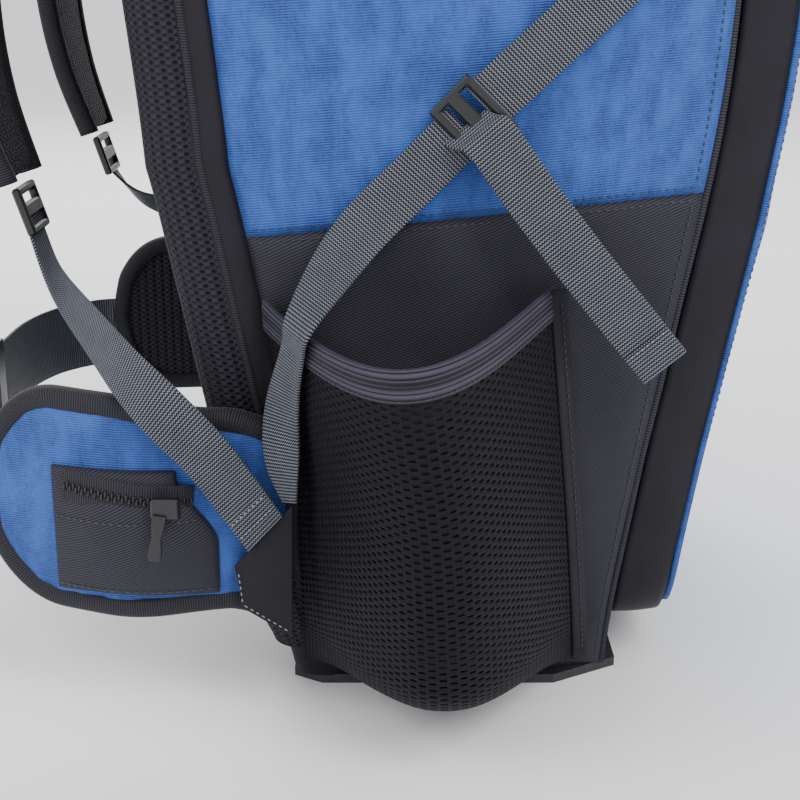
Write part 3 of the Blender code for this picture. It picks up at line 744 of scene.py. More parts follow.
NET = knit_net()
ELASTIC = woven_elastic()
COLUMN, CELL = 0.00365, 0.0031  # the net's column pitch and hole pitch
NET_BOTTOM = 0.0142
around = [pocket_place(-1, step / 40, 0.10) for step in range(41)]
upward = [pocket_place(-1, 0.5, NET_BOTTOM + 0.1448 * step / 60) for step in range(61)]
round_pocket, net_width = even_path(around, 400)
up_pocket, net_length = even_path(upward, 400)
net_columns, net_rows = int(net_width / COLUMN), int(net_length / CELL)


def along_table(table, share):
    """The curve parameter at an even share of a path's length."""
    position = min(max(share, 0.0), 1.0) * (len(table) - 1)
    index = min(int(position), len(table) - 2)
    return table[index] + (table[index + 1] - table[index]) * (position - index)


for side, word in ((-1, "left"), (1, "right")):
    bm = bmesh.new()
    bmesh.ops.create_grid(bm, x_segments=net_columns, y_segments=2 * net_rows, size=0.5)
    bmesh.ops.scale(bm, vec=(net_columns * COLUMN, net_rows * CELL, 1.0), verts=bm.verts)
    bmesh.ops.translate(bm, vec=(net_columns * COLUMN / 2, net_rows * CELL / 2, 0.0), verts=bm.verts)
    joined = []
    for edge in bm.edges:
        a, b = edge.verts
        if abs(a.co.y - b.co.y) < 1e-6 and len(edge.link_faces) == 2:
            column = int(min(a.co.x, b.co.x) / COLUMN + 0.5)
            level = round(a.co.y / (CELL / 2))
            if level % 2 != column % 2:
                joined.append(edge)
    bmesh.ops.dissolve_edges(bm, edges=joined, use_verts=False)
    cells = [face for face in bm.faces if len(face.verts) >= 6]
    bmesh.ops.inset_individual(bm, faces=cells, thickness=0.0004, use_even_offset=True)
    holes = [face for face in bm.faces if face in set(cells)]
    for face in holes:
        middle = face.calc_center_median()
        for vert in face.verts:
            away = vert.co - middle
            angle = math.atan2(away.y / CELL, away.x / COLUMN)
            vert.co = middle + Vector((0.00142 * math.cos(angle), 0.00072 * math.sin(angle), 0.0))
    bmesh.ops.delete(bm, geom=holes, context="FACES")
    for vert in bm.verts:
        s = along_table(round_pocket, vert.co.x / (net_columns * COLUMN))
        share = along_table(up_pocket, vert.co.y / (net_rows * CELL))
        top = rim_height(s) - 0.0108
        z = NET_BOTTOM + (top - NET_BOTTOM) * share
        away = ripple(s * 0.2, z, 0.03, 0.0012, 8.0 + side) * math.sin(math.pi * s) * (1 - share**4)
        vert.co = pocket_place(side, s, z, away)
    bmesh.ops.recalc_face_normals(bm, faces=bm.faces)
    piece = put(bm, f"pocket_net_{word}", [NET], "pack", [f"pocket_mesh_{word}"])
    thicken(piece, 0.0006)

    def rim_surface(u, v, side=side):
        z = rim_height(u) - 0.0118 * (1 - v)
        core = 0.0003 * math.cos(2 * math.pi * v * 5)
        roll = -0.0009 * (2 * abs(v - 0.5)) ** 4
        return pocket_place(side, u, z, 0.0002 + core + roll)

    bm, width, length = cut_cloth(rim_surface, 120, 20, (side, 0, 0))
    piece = put(bm, f"pocket_elastic_{word}", [ELASTIC], "pack", [f"pocket_rim_{word}"])
    thicken(piece, 0.0020)
    rows = [along_surface(rim_surface, (0.02, 0.10), (0.98, 0.10), 0.0012, 160, (side * 0.14, 0, 0.17))]
    sew(f"pocket_rim_stitching_{word}", rows, "pack", pitch=0.0030)

    def front_edge(u, v, side=side):
        z = 0.016 + (rim_height(1.0) - 0.0005 - 0.016) * v
        place = pocket_place(side, 1.0 - 0.02 * (1 - u), z, 0.0006)
        return place + Vector((side * 0.0002, -0.004 * u, 0.0))

    bm, width, length = cut_cloth(front_edge, 4, 60, (side, 0, 0))
    piece = put(bm, f"pocket_edge_{word}", [LINING], "pack", ())
    thicken(piece, 0.0012)
    rows = [along_surface(front_edge, (0.62, 0.03), (0.62, 0.97), 0.0008, 90, (0, 0, 0.1))]
    sew(f"pocket_edge_stitching_{word}", rows, "pack", DARK_THREAD, pitch=0.0030)


# Webbing. All straps are flat woven polyester, 1.4 mm thick: each weft pick stands up as a pale rib every
# 1.35 mm across the strap, and the edges are woven closer, as a smooth selvage.
def woven_webbing():
    material, tree, shader = new_material(
        "woven_polyester_webbing",
        0.62,
        Sheen_Weight=0.08,
        Specular_IOR_Level=0.25,
        Sheen_Tint=linear("#C8CCD4"),
    )
    place = millimetres(tree)
    warp = add(
        tree, "TexWave", {"Vector": place, "Scale": BAND_PERIOD / 1.1, "Distortion": 0.6}, bands_direction="X"
    )["Fac"]
    staggered = add(tree, "MapRange", {"Value": warp, "To Min": 0.0, "To Max": 0.45})[0]
    shift = add(tree, "CombineXYZ", {"Y": staggered})[0]
    woven = add(tree, "VectorMath", {0: place, 1: shift}, operation="ADD")["Vector"]
    pick = add(
        tree, "TexWave", {"Vector": woven, "Scale": BAND_PERIOD / 1.35, "Distortion": 0.35}, bands_direction="Y"
    )["Fac"]
    rib = add(tree, "MapRange", {"Value": pick, "From Min": 0.42, "From Max": 0.86})[0]
    cloud = add(tree, "TexNoise", {"Vector": place, "Scale": 0.12, "Detail": 2.0})["Fac"]
    pale = add(tree, "Mix", {0: cloud, 6: linear("#5A5E69"), 7: linear("#767B87")}, data_type="RGBA")[2]
    shade = add(tree, "Mix", {0: rib, 6: linear("#0C0D10"), 7: pale}, data_type="RGBA")[2]
    tree.links.new(shade, shader.inputs["Base Color"])
    bump = add(tree, "Bump", {"Height": rib, "Strength": 0.7, "Distance": 0.0005})["Normal"]
    tree.links.new(bump, shader.inputs["Normal"])
    return material


WEBBING = woven_webbing()
STRAP = 0.020  # the common webbing width


def webbing(name, path, across, width, body, nodes=(), rows=90, thickness=0.0014, look=None):
    """A strap through the places of its path, its width along the across direction at each of them."""
    spots = [Vector(spot) for spot in path]
    directions = [Vector(item).normalized() for item in across]
    if len(directions) == 1:
        directions = directions * len(spots)
    widths = list(width) if isinstance(width, (list, tuple)) else [width] * len(spots)
    sizes = [Vector((item, 0.0, 0.0)) for item in widths]
    table, _ = even_path(spots, 200)

    def surface(u, v):
        t = along_table(table, v)
        size = curve_point(sizes, t).x
        return curve_point(spots, t) + curve_point(directions, t).normalized() * size * (u - 0.5)

    bm, _, _ = cut_cloth(surface, 8, rows)
    bmesh.ops.recalc_face_normals(bm, faces=bm.faces)
    piece = put(bm, name, [look or WEBBING], body, nodes)
    thicken(piece, thickness)
    edge = piece.modifiers.new("selvage", "BEVEL")
    edge.width = thickness * 0.3
    edge.segments = 2
    edge.limit_method = "ANGLE"
    return piece, surface


def box_stitch(surface, low, high, inward, lift=0.0011, inset=0.12):
    """A box of stitches with a cross in it, as sewn through a strap's end."""
    corners = [(inset, low), (1 - inset, low), (1 - inset, high), (inset, high)]
    sides = [(corners[i], corners[(i + 1) % 4]) for i in range(4)]
    sides += [(corners[0], corners[2]), (corners[1], corners[3])]
    return [along_surface(surface, a, b, lift, 12, inward) for a, b in sides]


# Compression straps. The lower one is sewn low behind the pocket, crosses over its rim and runs through a
# ladder lock; its loose tail hangs forward, and a short tab holds the lock from the front seam.
PLASTIC, tree, shader = new_material("moulded_acetal", 0.38)
place = add(tree, "TexCoord", {})["Object"]
grain = add(tree, "TexNoise", {"Vector": place, "Scale": 1500.0, "Detail": 2.0})["Fac"]
cloud = add(tree, "TexNoise", {"Vector": place, "Scale": 90.0})["Fac"]
shade = add(tree, "Mix", {0: cloud, 6: linear("#0B0B0D"), 7: linear("#151517")}, data_type="RGBA")[2]
tree.links.new(shade, shader.inputs["Base Color"])
worn = add(tree, "MapRange", {"Value": cloud, "To Min": 0.30, "To Max": 0.48})[0]
tree.links.new(worn, shader.inputs["Roughness"])
bump = add(tree, "Bump", {"Height": grain, "Strength": 0.25, "Distance": 0.0002})["Normal"]
tree.links.new(bump, shader.inputs["Normal"])
for node in frame["nodes"]:
    if "lock" in node or "buckle" in node or "slider" in node:
        coat(node, PLASTIC)

for side, word in ((-1, "left"), (1, "right")):
    path = (
        (side * 0.1672, 0.0570, 0.0965),
        (side * 0.1682, 0.0595, 0.1120),
        (side * 0.1690, 0.0590, 0.1340),
        (side * 0.1795, 0.0540, 0.1580),
        (side * 0.1860, 0.0500, 0.1730),
        (side * 0.1590, 0.0320, 0.1960),
        (side * 0.1500, 0.0090, 0.2180),
        (side * 0.1500, -0.0050, 0.2320),
        (side * 0.1490, -0.0090, 0.2360),
    )
    across = (
        (side * 0.35, -0.93, 0.05),
        (side * 0.38, -0.92, 0.00),
        (side * 0.75, -0.65, 0.00),
        (side * 0.90, -0.43, -0.10),
        (side * 0.85, -0.50, -0.15),
        (side * 0.35, -0.70, -0.55),
        (0.0, -1.0, -0.90),
        (0.0, -1.0, -1.00),
        (0.0, -1.0, -1.00),
    )
    webbing(
        f"side_strap_{word}", path, across, [0.006, 0.014] + [STRAP] * 7, "pack", [f"compression_strap_{word}"]
    )
    path = (
        (side * 0.1500, -0.0085, 0.2360),
        (side * 0.1535, -0.0130, 0.2345),
        (side * 0.1568, -0.0180, 0.2325),
        (side * 0.1620, -0.0340, 0.2110),
        (side * 0.1650, -0.0560, 0.1830),
        (side * 0.1650, -0.0835, 0.1495),
    )
    _, surface = webbing(
        f"side_strap_tail_{word}", path, ((0, 0.77, -0.64),), STRAP, "pack", [f"compression_tail_{word}"]
    )
    inside = (0.0, surface(0.5, 0.9).y, surface(0.5, 0.9).z)
    folded = [surface(0.5, 1 - 0.012 / 0.115 * step / 6) + Vector((side * 0.0014, 0, 0)) for step in range(7)]
    webbing(f"side_strap_fold_{word}", folded, ((0, 0.77, -0.64),), 0.0197, "pack", (), 10, 0.0012)
    hem = along_surface(surface, (0.08, 0.905), (0.92, 0.905), 0.0, 10, inside)
    row = [(spot + Vector((side * 0.0022, 0, 0)), Vector((side, 0, 0))) for spot, _ in hem]
    sew(f"side_strap_hem_{word}", [row], "pack", PALE_THREAD, pitch=0.0024, length=0.0016)
    path = (
        (side * 0.1500, -0.0155, 0.2435),
        (side * 0.1496, -0.0215, 0.2490),
        (side * 0.1480, -0.0400, 0.2660),
        (side * 0.1440, -0.0700, 0.2930),
        (side * 0.1400, -0.0920, 0.3130),
    )
    _, surface = webbing(
        f"side_strap_tab_{word}", path, ((0, 0.72, 0.70),), STRAP, "pack", [f"compression_tab_{word}"]
    )
    sew(f"side_tab_stitching_{word}", box_stitch(surface, 0.84, 0.98, (0, -0.09, 0.31)), "pack", PALE_THREAD)

# Hip wings. Each is a 12 mm foam pad, blue nylon outside and spacer mesh inside, its edge bound with
# ribbed tape. It is sewn into the bag's side seam.
def spacer_mesh():
    """Knitted spacer mesh: soft black ribs 4.6 mm apart, with a row of open holes between each two."""
    material, tree, shader = new_material("knitted_spacer_mesh", 0.75, Specular_IOR_Level=0.2)
    place = millimetres(tree)
    rib = add(tree, "TexWave", {"Vector": place, "Scale": BAND_PERIOD / 4.6}, bands_direction="X")["Fac"]
    row = add(tree, "TexWave", {"Vector": place, "Scale": BAND_PERIOD / 2.8}, bands_direction="Y")["Fac"]
    centred = [add(tree, "Math", {0: part, 1: 0.5}, operation="SUBTRACT")[0] for part in (rib, row)]
    weave = add(tree, "Math", {0: centred[0], 1: centred[1]}, operation="MULTIPLY")[0]
    hole = add(tree, "MapRange", {"Value": weave, "From Min": -0.20, "From Max": 0.02})[0]
    raised = add(tree, "Math", {0: rib, 1: 0.6, 2: hole}, operation="MULTIPLY_ADD")[0]
    share = add(tree, "MapRange", {"Value": raised, "From Min": 0.15, "From Max": 1.55})[0]
    shade = add(tree, "Mix", {0: share, 6: linear("#020203"), 7: linear("#282630")}, data_type="RGBA")[2]
    tree.links.new(shade, shader.inputs["Base Color"])
    bump = add(tree, "Bump", {"Height": raised, "Strength": 0.8, "Distance": 0.0010})["Normal"]
    tree.links.new(bump, shader.inputs["Normal"])
    return material


MESH_PAD = spacer_mesh()


def blow_up(bm, name, cap, held, voxel=0.003, pressure=4.0):
    """Swells a closed form with the cloth solver while its sewn edges are held, and keeps the result."""
    source = bpy.data.meshes.new(f"{name}_form")
    bm.to_mesh(source)
    bm.free()
    form = bpy.data.objects.new(f"{name}_form", source)
    bpy.context.scene.collection.objects.link(form)
    close = form.modifiers.new("close", "REMESH")
    close.mode = "VOXEL"
    close.voxel_size = voxel
    form_mesh = bpy.data.meshes.new_from_object(form.evaluated_get(bpy.context.evaluated_depsgraph_get()))
    form.modifiers.clear()
    form.data = form_mesh
    rest = [vert.co.copy() for vert in form_mesh.vertices]
    places = rest
    group = form.vertex_groups.new(name="held")
    for vert in form_mesh.vertices:
        if held(vert.co):
            group.add([vert.index], 1.0, "REPLACE")
    swell = form.modifiers.new("swell", "CLOTH")
    swell.settings.vertex_group_mass = "held"
    swell.settings.use_pressure = True
    swell.settings.uniform_pressure_force = pressure
    swell.settings.effector_weights.gravity = 0.0
    swell.settings.quality = 5
    swell.collision_settings.use_collision = False
    swell.point_cache.frame_start = 1
    swell.point_cache.frame_end = 20
    for number in range(1, 21):
        bpy.context.scene.frame_set(number)
    solved = form.evaluated_get(bpy.context.evaluated_depsgraph_get()).to_mesh()
    places = [vert.co.copy() for vert in solved.vertices]
    bpy.context.scene.frame_set(1)
    result = bmesh.new()
    result.from_mesh(form_mesh)
    bpy.data.objects.remove(form, do_unlink=True)
    for vert, start, end in zip(result.verts, rest, places):
        move = end - start
        if move.length > cap:
            move *= cap / move.length
        vert.co = start + move
    for _ in range(3):
        bmesh.ops.smooth_vert(
            result, verts=result.verts, factor=0.5, use_axis_x=True, use_axis_y=True, use_axis_z=True
        )
    result.normal_update()
    return result


def lay_out(bm, flat, back_side=None):
    """Gives a stuffed form its UV map in metres, and its second cloth where back_side says so."""
    uv = bm.loops.layers.uv.new("metres")
    for face in bm.faces:
        if back_side is not None and back_side(face):
            face.material_index = 1
        for loop in face.loops:
            loop[uv].uv = flat(loop.vert.co)


def soften(piece):
    """Rounds off the small steps that the remesh leaves."""
    smooth = piece.modifiers.new("soften", "SUBSURF")
    smooth.levels = 1
    smooth.render_levels = 1
    return piece


def wing_middle(y):
    """Half height, centre height and distance from the middle of the bag, at y along the wing."""
    share = (y - 0.0820) / 0.0930
    tip = max((share - 0.70) / 0.30, 0.0)
    half = 0.0365 + 0.0045 * ease(share / 0.5)
    if share > 0.70:
        half = 0.0410 * math.sqrt(max(1 - (0.95 * tip) ** 2, 0.0))
    near = ease((y - 0.0605) / 0.0215)
    centre = 0.0835 + 0.0065 * near + 0.004 * ease(share)
    x = 0.1530 + 0.0045 * near + 0.004 * math.sin(math.pi * max(share, 0.0)) - 0.012 * ease((share - 0.25) / 0.75)
    return half, centre, x


def wing_surface(side):
    """The middle of one wing's foam, from the side seam to its tip."""
    def surface(u, v):
        y = 0.0590 + 0.1180 * u
        half, centre, x = wing_middle(y)
        return Vector((side * x, y, centre + (2 * v - 1) * half))

    return surface


POUCH_LOW, POUCH_HEIGHT, POUCH_END = 0.0580, 0.0505, 0.1490


def pouch_start(z):
    """The wing pouch's slanted front end."""
    return 0.0855 + 0.0150 * ease((z - 0.078) / 0.028)


def coil_zip(name, path, outward, body):
    """A zip fastener: two woven tapes and, between them, a coil of nylon turns 1.4 mm apart."""
    places, length = even_path(path, 60)
    spots = [curve_point(path, place) for place in places]
    out = Vector(outward).normalized()
    across = [out.cross(spots[min(i + 1, 60)] - spots[max(i - 1, 0)]).normalized() for i in range(61)]
    tape_path = [spot - out * 0.0003 for spot in spots[::10]]
    webbing(f"{name}_tape", tape_path, [across[30]], 0.0130, body, (), 40, 0.0008, TAPE)
    bm = bmesh.new()
    bmesh.ops.create_uvsphere(bm, u_segments=8, v_segments=4, radius=1.0)
    turn_mesh = bpy.data.meshes.new(f"{name}_turn")
    bm.to_mesh(turn_mesh)
    bm.clear()
    turns = int(length / 0.0014)
    for number in range(turns):
        position = (number + 0.5) / turns * 60
        index = min(int(position), 59)
        spot = spots[index].lerp(spots[index + 1], position - index)
        along = (spots[index + 1] - spots[index]).normalized()
        over = across[index] * (0.0006 if number % 2 else -0.0006)
        turn = Matrix((along, across[index], out)).transposed().to_4x4()
        size = Matrix.Diagonal((0.00062, 0.0016, 0.0007, 1.0))
        lay = Matrix.Translation(spot + over + out * 0.0005) @ turn @ size
        turn_mesh.transform(lay)
        bm.from_mesh(turn_mesh)
        turn_mesh.transform(lay.inverted())
    bmesh.ops.recalc_face_normals(bm, faces=bm.faces)
    return put(bm, f"{name}_coil", [PLASTIC], body, ())


def box_middle(node):
    """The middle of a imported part's box."""
    low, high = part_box(node)
    return (Vector(low) + Vector(high)) / 2


def zip_pull(name, top, down, outward, body):
    """A flat pull of moulded rubber hanging from a slider, waisted in the middle."""
    down, out = Vector(down).normalized(), Vector(outward).normalized()
    over = down.cross(out).normalized()
    bm = bmesh.new()
    bmesh.ops.create_grid(bm, x_segments=4, y_segments=14, size=0.5)
    for vert in bm.verts:
        share = 0.5 - vert.co.y
        wide = 0.0036 + 0.0018 * abs(math.cos(math.pi * share)) - 0.002 * ease((share - 0.9) / 0.1)
        vert.co = Vector(top) + over * vert.co.x * wide + down * share * 0.018 + out * 0.0006 * math.sin(3 * share)
    bmesh.ops.recalc_face_normals(bm, faces=bm.faces)
    piece = put(bm, name, [PLASTIC], body, ())
    thicken(piece, 0.0016)
    edge = piece.modifiers.new("edge", "BEVEL")
    edge.width = 0.0005
    edge.segments = 2
    return piece


for side, word in ((-1, "left"), (1, "right")):
    surface = wing_surface(side)
    bm, width, length = cut_cloth(surface, 40, 28, (side, 0, 0))
    bmesh.ops.solidify(bm, geom=bm.faces[:], thickness=0.007)
    middle = sum(vert.co.x for vert in bm.verts) / len(bm.verts)
    bmesh.ops.translate(bm, verts=bm.verts, vec=(side * 0.157 - middle - side * 0.0009, 0, 0))

    def wing_held(place):
        half, centre, _ = wing_middle(place.y)
        return abs(place.z - centre) > half - 0.006 or place.y < 0.066 or place.y > 0.172

    bm = blow_up(bm, f"hip_wing_{word}", 0.0034, wing_held)
    lay_out(bm, lambda place: (place.y, place.z), lambda face, side=side: face.normal.x * side < -0.1)
    piece = put(
        bm,
        f"hip_wing_pad_{word}",
        [BLUE, MESH_PAD],
        None,
        [f"hip_wing_{word}", f"wing_gusset_{word}"],
    )
    soften(piece)
    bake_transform(piece)
    outline = [surface(0.02 + 0.98 * step / 30, 1.0) for step in range(31)]
    outline += [surface(1.0, 1 - step / 8) for step in range(1, 8)]
    outline += [surface(1 - 0.98 * step / 30, 0.0) for step in range(31)]
    places, _ = even_path(outline, 150)
    rim = [curve_point(outline, place) for place in places]
    centre_of_wing = Vector((side * 0.157, 0.112, 0.092))

    def rim_out(index, rim=rim):
        along = rim[min(index + 1, 150)] - rim[max(index - 1, 0)]
        out = along.cross(Vector((1, 0, 0)))
        return out if out.dot(rim[index] - centre_of_wing) > 0 else -out

    piece = bind(f"hip_wing_binding_{word}", rim, rim_out, lambda i: (1, 0, 0), 4.9, 4.6, None)
    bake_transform(piece)

    # Wing pouch: dark twill, slanted at its front end, with a coil zip near its top.
    def pouch_place(y, z, out=0.0, side=side):
        start = pouch_start(z)
        u, v = (y - start) / (POUCH_END - start), (z - POUCH_LOW) / POUCH_HEIGHT
        u, v = min(max(u, 0.0), 1.0), min(max(v, 0.0), 1.0)
        full = min(math.sin(math.pi * u), 1) ** 0.45 * min(math.sin(math.pi * v), 1) ** 0.45
        x = wing_middle(y)[2] + 0.0052 + 0.0070 * full + ripple(y, z, 0.02, 0.0006, 9.0) * full
        return Vector((side * (x + out), y, z))

    def pouch_surface(u, v):
        z = POUCH_LOW + POUCH_HEIGHT * v
        start = pouch_start(z)
        return pouch_place(start + (POUCH_END - start) * u, z)

    bm, width, length = cut_cloth(pouch_surface, 44, 36, (side, 0, 0))
    piece = put(bm, f"wing_pouch_cloth_{word}", [TWILL], f"wing_{word}", [f"wing_pouch_{word}"])
    thicken(piece, 0.0012)
    track = [pouch_place(0.0940 + 0.0500 * step / 6, 0.0964 + 0.0061 * step / 6, 0.0011) for step in range(7)]
    coil_zip(f"wing_zip_{word}", track, (side, 0, 0), f"wing_{word}")
    pull_top = box_middle(f"wing_zip_slider_{word}") + Vector((side * 0.0022, 0.002, -0.002))
    zip_pull(f"wing_zip_pull_{word}", pull_top, (side * 0.05, 0.15, -1.0), (side, 0, 0), f"pouch_zip_{word}")
    rows = [
        along_surface(pouch_surface, (0.03, 0.62), (0.97, 0.62), 0.0010, 60, (0, 0.1, 0.08)),
        along_surface(pouch_surface, (0.03, 0.05), (0.97, 0.05), 0.0010, 60, (0, 0.1, 0.08)),
    ]
    sew(f"wing_pouch_stitching_{word}", rows, f"wing_{word}")

    # Belt webbing: 38 mm wide, sewn under the wing's tip and threaded through its half of the buckle.
    path = (
        (side * 0.1478, 0.1560, 0.0870),
        (side * 0.1440, 0.1757, 0.0850),
        (side * 0.1380, 0.1900, 0.0850),
        (side * 0.1180, 0.2080, 0.0850),
        (side * 0.0850, 0.2180, 0.0850),
        (side * 0.0385, 0.2200, 0.0850),
    )
    body = f"wing_{word}" if side < 0 else None
    piece, _ = webbing(
        f"belt_strap_{word}", path, ((0, 0, 1),), 0.038, body, [f"belt_webbing_{word}"], 100, 0.0016
    )
    if side > 0:
        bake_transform(piece)

# Strap patches and shoulder webbing. A folded patch of lining is caught in the side seam and holds the
# lower end of each shoulder strap's webbing, which is sewn to it with two rows of stitches.
for side, word in ((-1, "left"), (1, "right")):
    bm = bmesh.new()
    outline = ((0.0560, 0.0950), (0.0790, 0.0700), (0.0570, 0.0400), (0.0760, 0.0520))
    corners = bmesh.ops.create_grid(bm, x_segments=1, y_segments=1, size=0.5)["verts"]
    for vert, (y, z) in zip(corners, outline):
        vert.co = (side * 0.1655, y, z)
    grown = bmesh.ops.extrude_face_region(bm, geom=bm.faces[:])
    raised = [item for item in grown["geom"] if isinstance(item, bmesh.types.BMVert)]
    bmesh.ops.translate(bm, vec=(side * 0.0014, 0, 0), verts=raised)
    bmesh.ops.recalc_face_normals(bm, faces=bm.faces)
    bmesh.ops.bevel(
        bm, geom=bm.edges[:], offset=0.0005, segments=2, profile=0.5, affect="EDGES", material=-1, clamp_overlap=True
    )
    lay_out(bm, lambda place: (place.y, place.z))
    piece = put(bm, f"webbing_patch_{word}", [LINING], "pack", [f"strap_patch_{word}"])
    out = Vector((side, 0, 0))

    def patch_row(a, b, out=out, side=side):
        a, b = Vector((side * 0.1670, *a)), Vector((side * 0.1670, *b))
        return [(a.lerp(b, step / 12), out) for step in range(13)]

    rows = [patch_row((0.0585, 0.0425), (0.0755, 0.0535)), patch_row((0.0762, 0.0545), (0.0776, 0.0680))]
    sew(f"webbing_patch_stitching_{word}", rows, "pack", PALE_THREAD, pitch=0.0026, length=0.0017)
    path = (
        (side * 0.1682, 0.0665, 0.0840),
        (side * 0.1690, 0.0775, 0.1010),
        (side * 0.1712, 0.0880, 0.1170),
        (side * 0.1722, 0.1020, 0.1330),
        (side * 0.1630, 0.1165, 0.1450),
        (side * 0.1360, 0.1350, 0.1560),
        (side * 0.1060, 0.1540, 0.1680),
        (side * 0.0880, 0.1650, 0.1850),
        (side * 0.0840, 0.1680, 0.1935),
    )
    across = (
        (0, 0.68, -0.73),
        (0, 0.74, -0.67),
        (side * 0.05, 0.74, -0.67),
        (side * 0.30, 0.62, -0.70),
        (side * 0.55, 0.35, -0.75),
        (side * 0.65, 0.10, -0.75),
        (side * 0.85, 0.00, -0.52),
        (side * 0.98, 0.00, -0.20),
        (side * 1.00, 0.00, 0.00),
    )
    piece, surface = webbing(
        f"shoulder_webbing_strap_{word}", path, across, STRAP, None, [f"shoulder_webbing_{word}"], 130
    )
    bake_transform(piece)
    inside = (0, 0.07, 0.09)
    rows = [
        along_surface(surface, (0.08, 0.030), (0.92, 0.030), 0.0011, 10, inside),
        along_surface(surface, (0.08, 0.062), (0.92, 0.062), 0.0011, 10, inside),
    ]
    sew(f"shoulder_webbing_stitching_{word}", rows, "pack", PALE_THREAD, pitch=0.0022, length=0.0015)

# Back padding. Two long pads and a lumbar pad of foam under spacer mesh are sewn to the back, and a roll
# of the same mesh runs up each edge over the corner of the dark band.
FOAM_SLAB = 0.0075  # a pad or strap before it swells
PAD_FLOOR = 0.0262  # how far behind the side seam the pads' undersides lie

for side, word in ((-1, "left"), (1, "right")):

    def pad_surface(u, v, side=side):
        z = 0.1520 + 0.2120 * v
        x = 0.0200 + 0.1080 * u
        return Vector((side * x, back_seam(z) + 0.0325, z))

    bm, width, length = cut_cloth(pad_surface, 26, 50, (0, 1, 0))
    bmesh.ops.solidify(bm, geom=bm.faces[:], thickness=FOAM_SLAB)
    bmesh.ops.bevel(
        bm,
        geom=[edge for edge in bm.edges if abs(edge.calc_face_angle(0.0)) > 1.0],
        offset=0.002,
        segments=2,
        profile=0.5,
        affect="EDGES",
        material=-1,
    )

    def pad_held(place):
        x = abs(place.x)
        edge = min(x - 0.020, 0.128 - x, place.z - 0.152, 0.364 - place.z)
        return edge < 0.0045 or abs(place.z - 0.258) < 0.003

    bm = blow_up(bm, f"back_pad_{word}", 0.0042, pad_held, 0.0034)
    for vert in bm.verts:
        vert.co.y = max(vert.co.y, back_seam(vert.co.z) + PAD_FLOOR)
    lay_out(bm, lambda place: (place.x, place.z))
    piece = put(bm, f"back_padding_{word}", [MESH_PAD], "pack", [f"back_pad_{word}"])
    soften(piece)

    def roll_surface(u, v, side=side):
        z = 0.0180 + 0.4240 * v
        angle = math.radians(-38.0 + 150.0 * u)
        end = 1 - 0.75 * near_edge(v, 0.424, 0.012)
        radius = 0.0120 + 0.0028 * end
        x = half_width(z) - 0.0100 + radius * math.cos(angle)
        y = back_seam(z) + 0.0192 + radius * 0.92 * math.sin(angle)
        return Vector((side * x, y, z))

    bm, width, length = cut_cloth(roll_surface, 28, 120, (side, 0, 0))
    piece = put(bm, f"back_edge_roll_{word}", [MESH_PAD], "pack", ())
    thicken(piece, 0.0016, offset=-1.0)
    bead = [roll_surface(0.0, 0.005 + 0.99 * step / 60) + Vector((side * 0.0012, -0.0002, 0)) for step in range(61)]
    bind(f"back_edge_piping_{word}", bead, lambda i, side=side: (side, 0, 0), lambda i: (0, 1, 0), 1.3, 1.1, "pack")


def lumbar_surface(u, v):
    z = 0.0320 + 0.1080 * v
    x = -0.1260 + 0.2520 * u
    return Vector((x, back_seam(z) + 0.0328 + 0.002 * math.sin(math.pi * v), z))


bm, width, length = cut_cloth(lumbar_surface, 56, 26, (0, 1, 0))
bmesh.ops.solidify(bm, geom=bm.faces[:], thickness=FOAM_SLAB)


def lumbar_held(place):
    edge = min(0.126 - abs(place.x), place.z - 0.032, 0.140 - place.z)
    return edge < 0.0045 or abs(abs(place.x) - 0.040) < 0.003


bm = blow_up(bm, "lumbar_pad", 0.0042, lumbar_held, 0.0036)
for vert in bm.verts:
    vert.co.y = max(vert.co.y, back_seam(vert.co.z) + PAD_FLOOR)
lay_out(bm, lambda place: (place.x, place.z))
piece = put(bm, "lumbar_padding", [MESH_PAD], "pack", ["lumbar_pad"])
soften(piece)

# Shoulder straps. Foam 12 mm thick between lining outside and spacer mesh inside, cut in an S, bound at
# the edges, with a strip of webbing sewn down the middle that carries the chest strap.
YOKE_TOP, YOKE_BOTTOM = 0.4180, 0.3700


def yoke_surface(u, v):
    z = YOKE_BOTTOM + (YOKE_TOP - YOKE_BOTTOM) * v
    x = -0.098 + 0.196 * u
    held = max(near_edge(u, 0.196, 0.01), near_edge(v, 0.048, 0.01))
    return Vector((x, back_seam(z) + 0.0240 + 0.0022 - 0.0008 * held, z))


bm, width, length = cut_cloth(yoke_surface, 60, 16, (0, 1, 0))
piece = put(bm, "harness_yoke", [TWILL], "pack", ())
thicken(piece, 0.0012)
rows = [
    along_surface(yoke_surface, (0.02, 0.08), (0.98, 0.08), 0.0009, 100, (0, 0, 0.39)),
    along_surface(yoke_surface, (0.02, 0.92), (0.98, 0.92), 0.0009, 100, (0, 0, 0.39)),
]
sew("harness_yoke_stitching", rows, "pack")

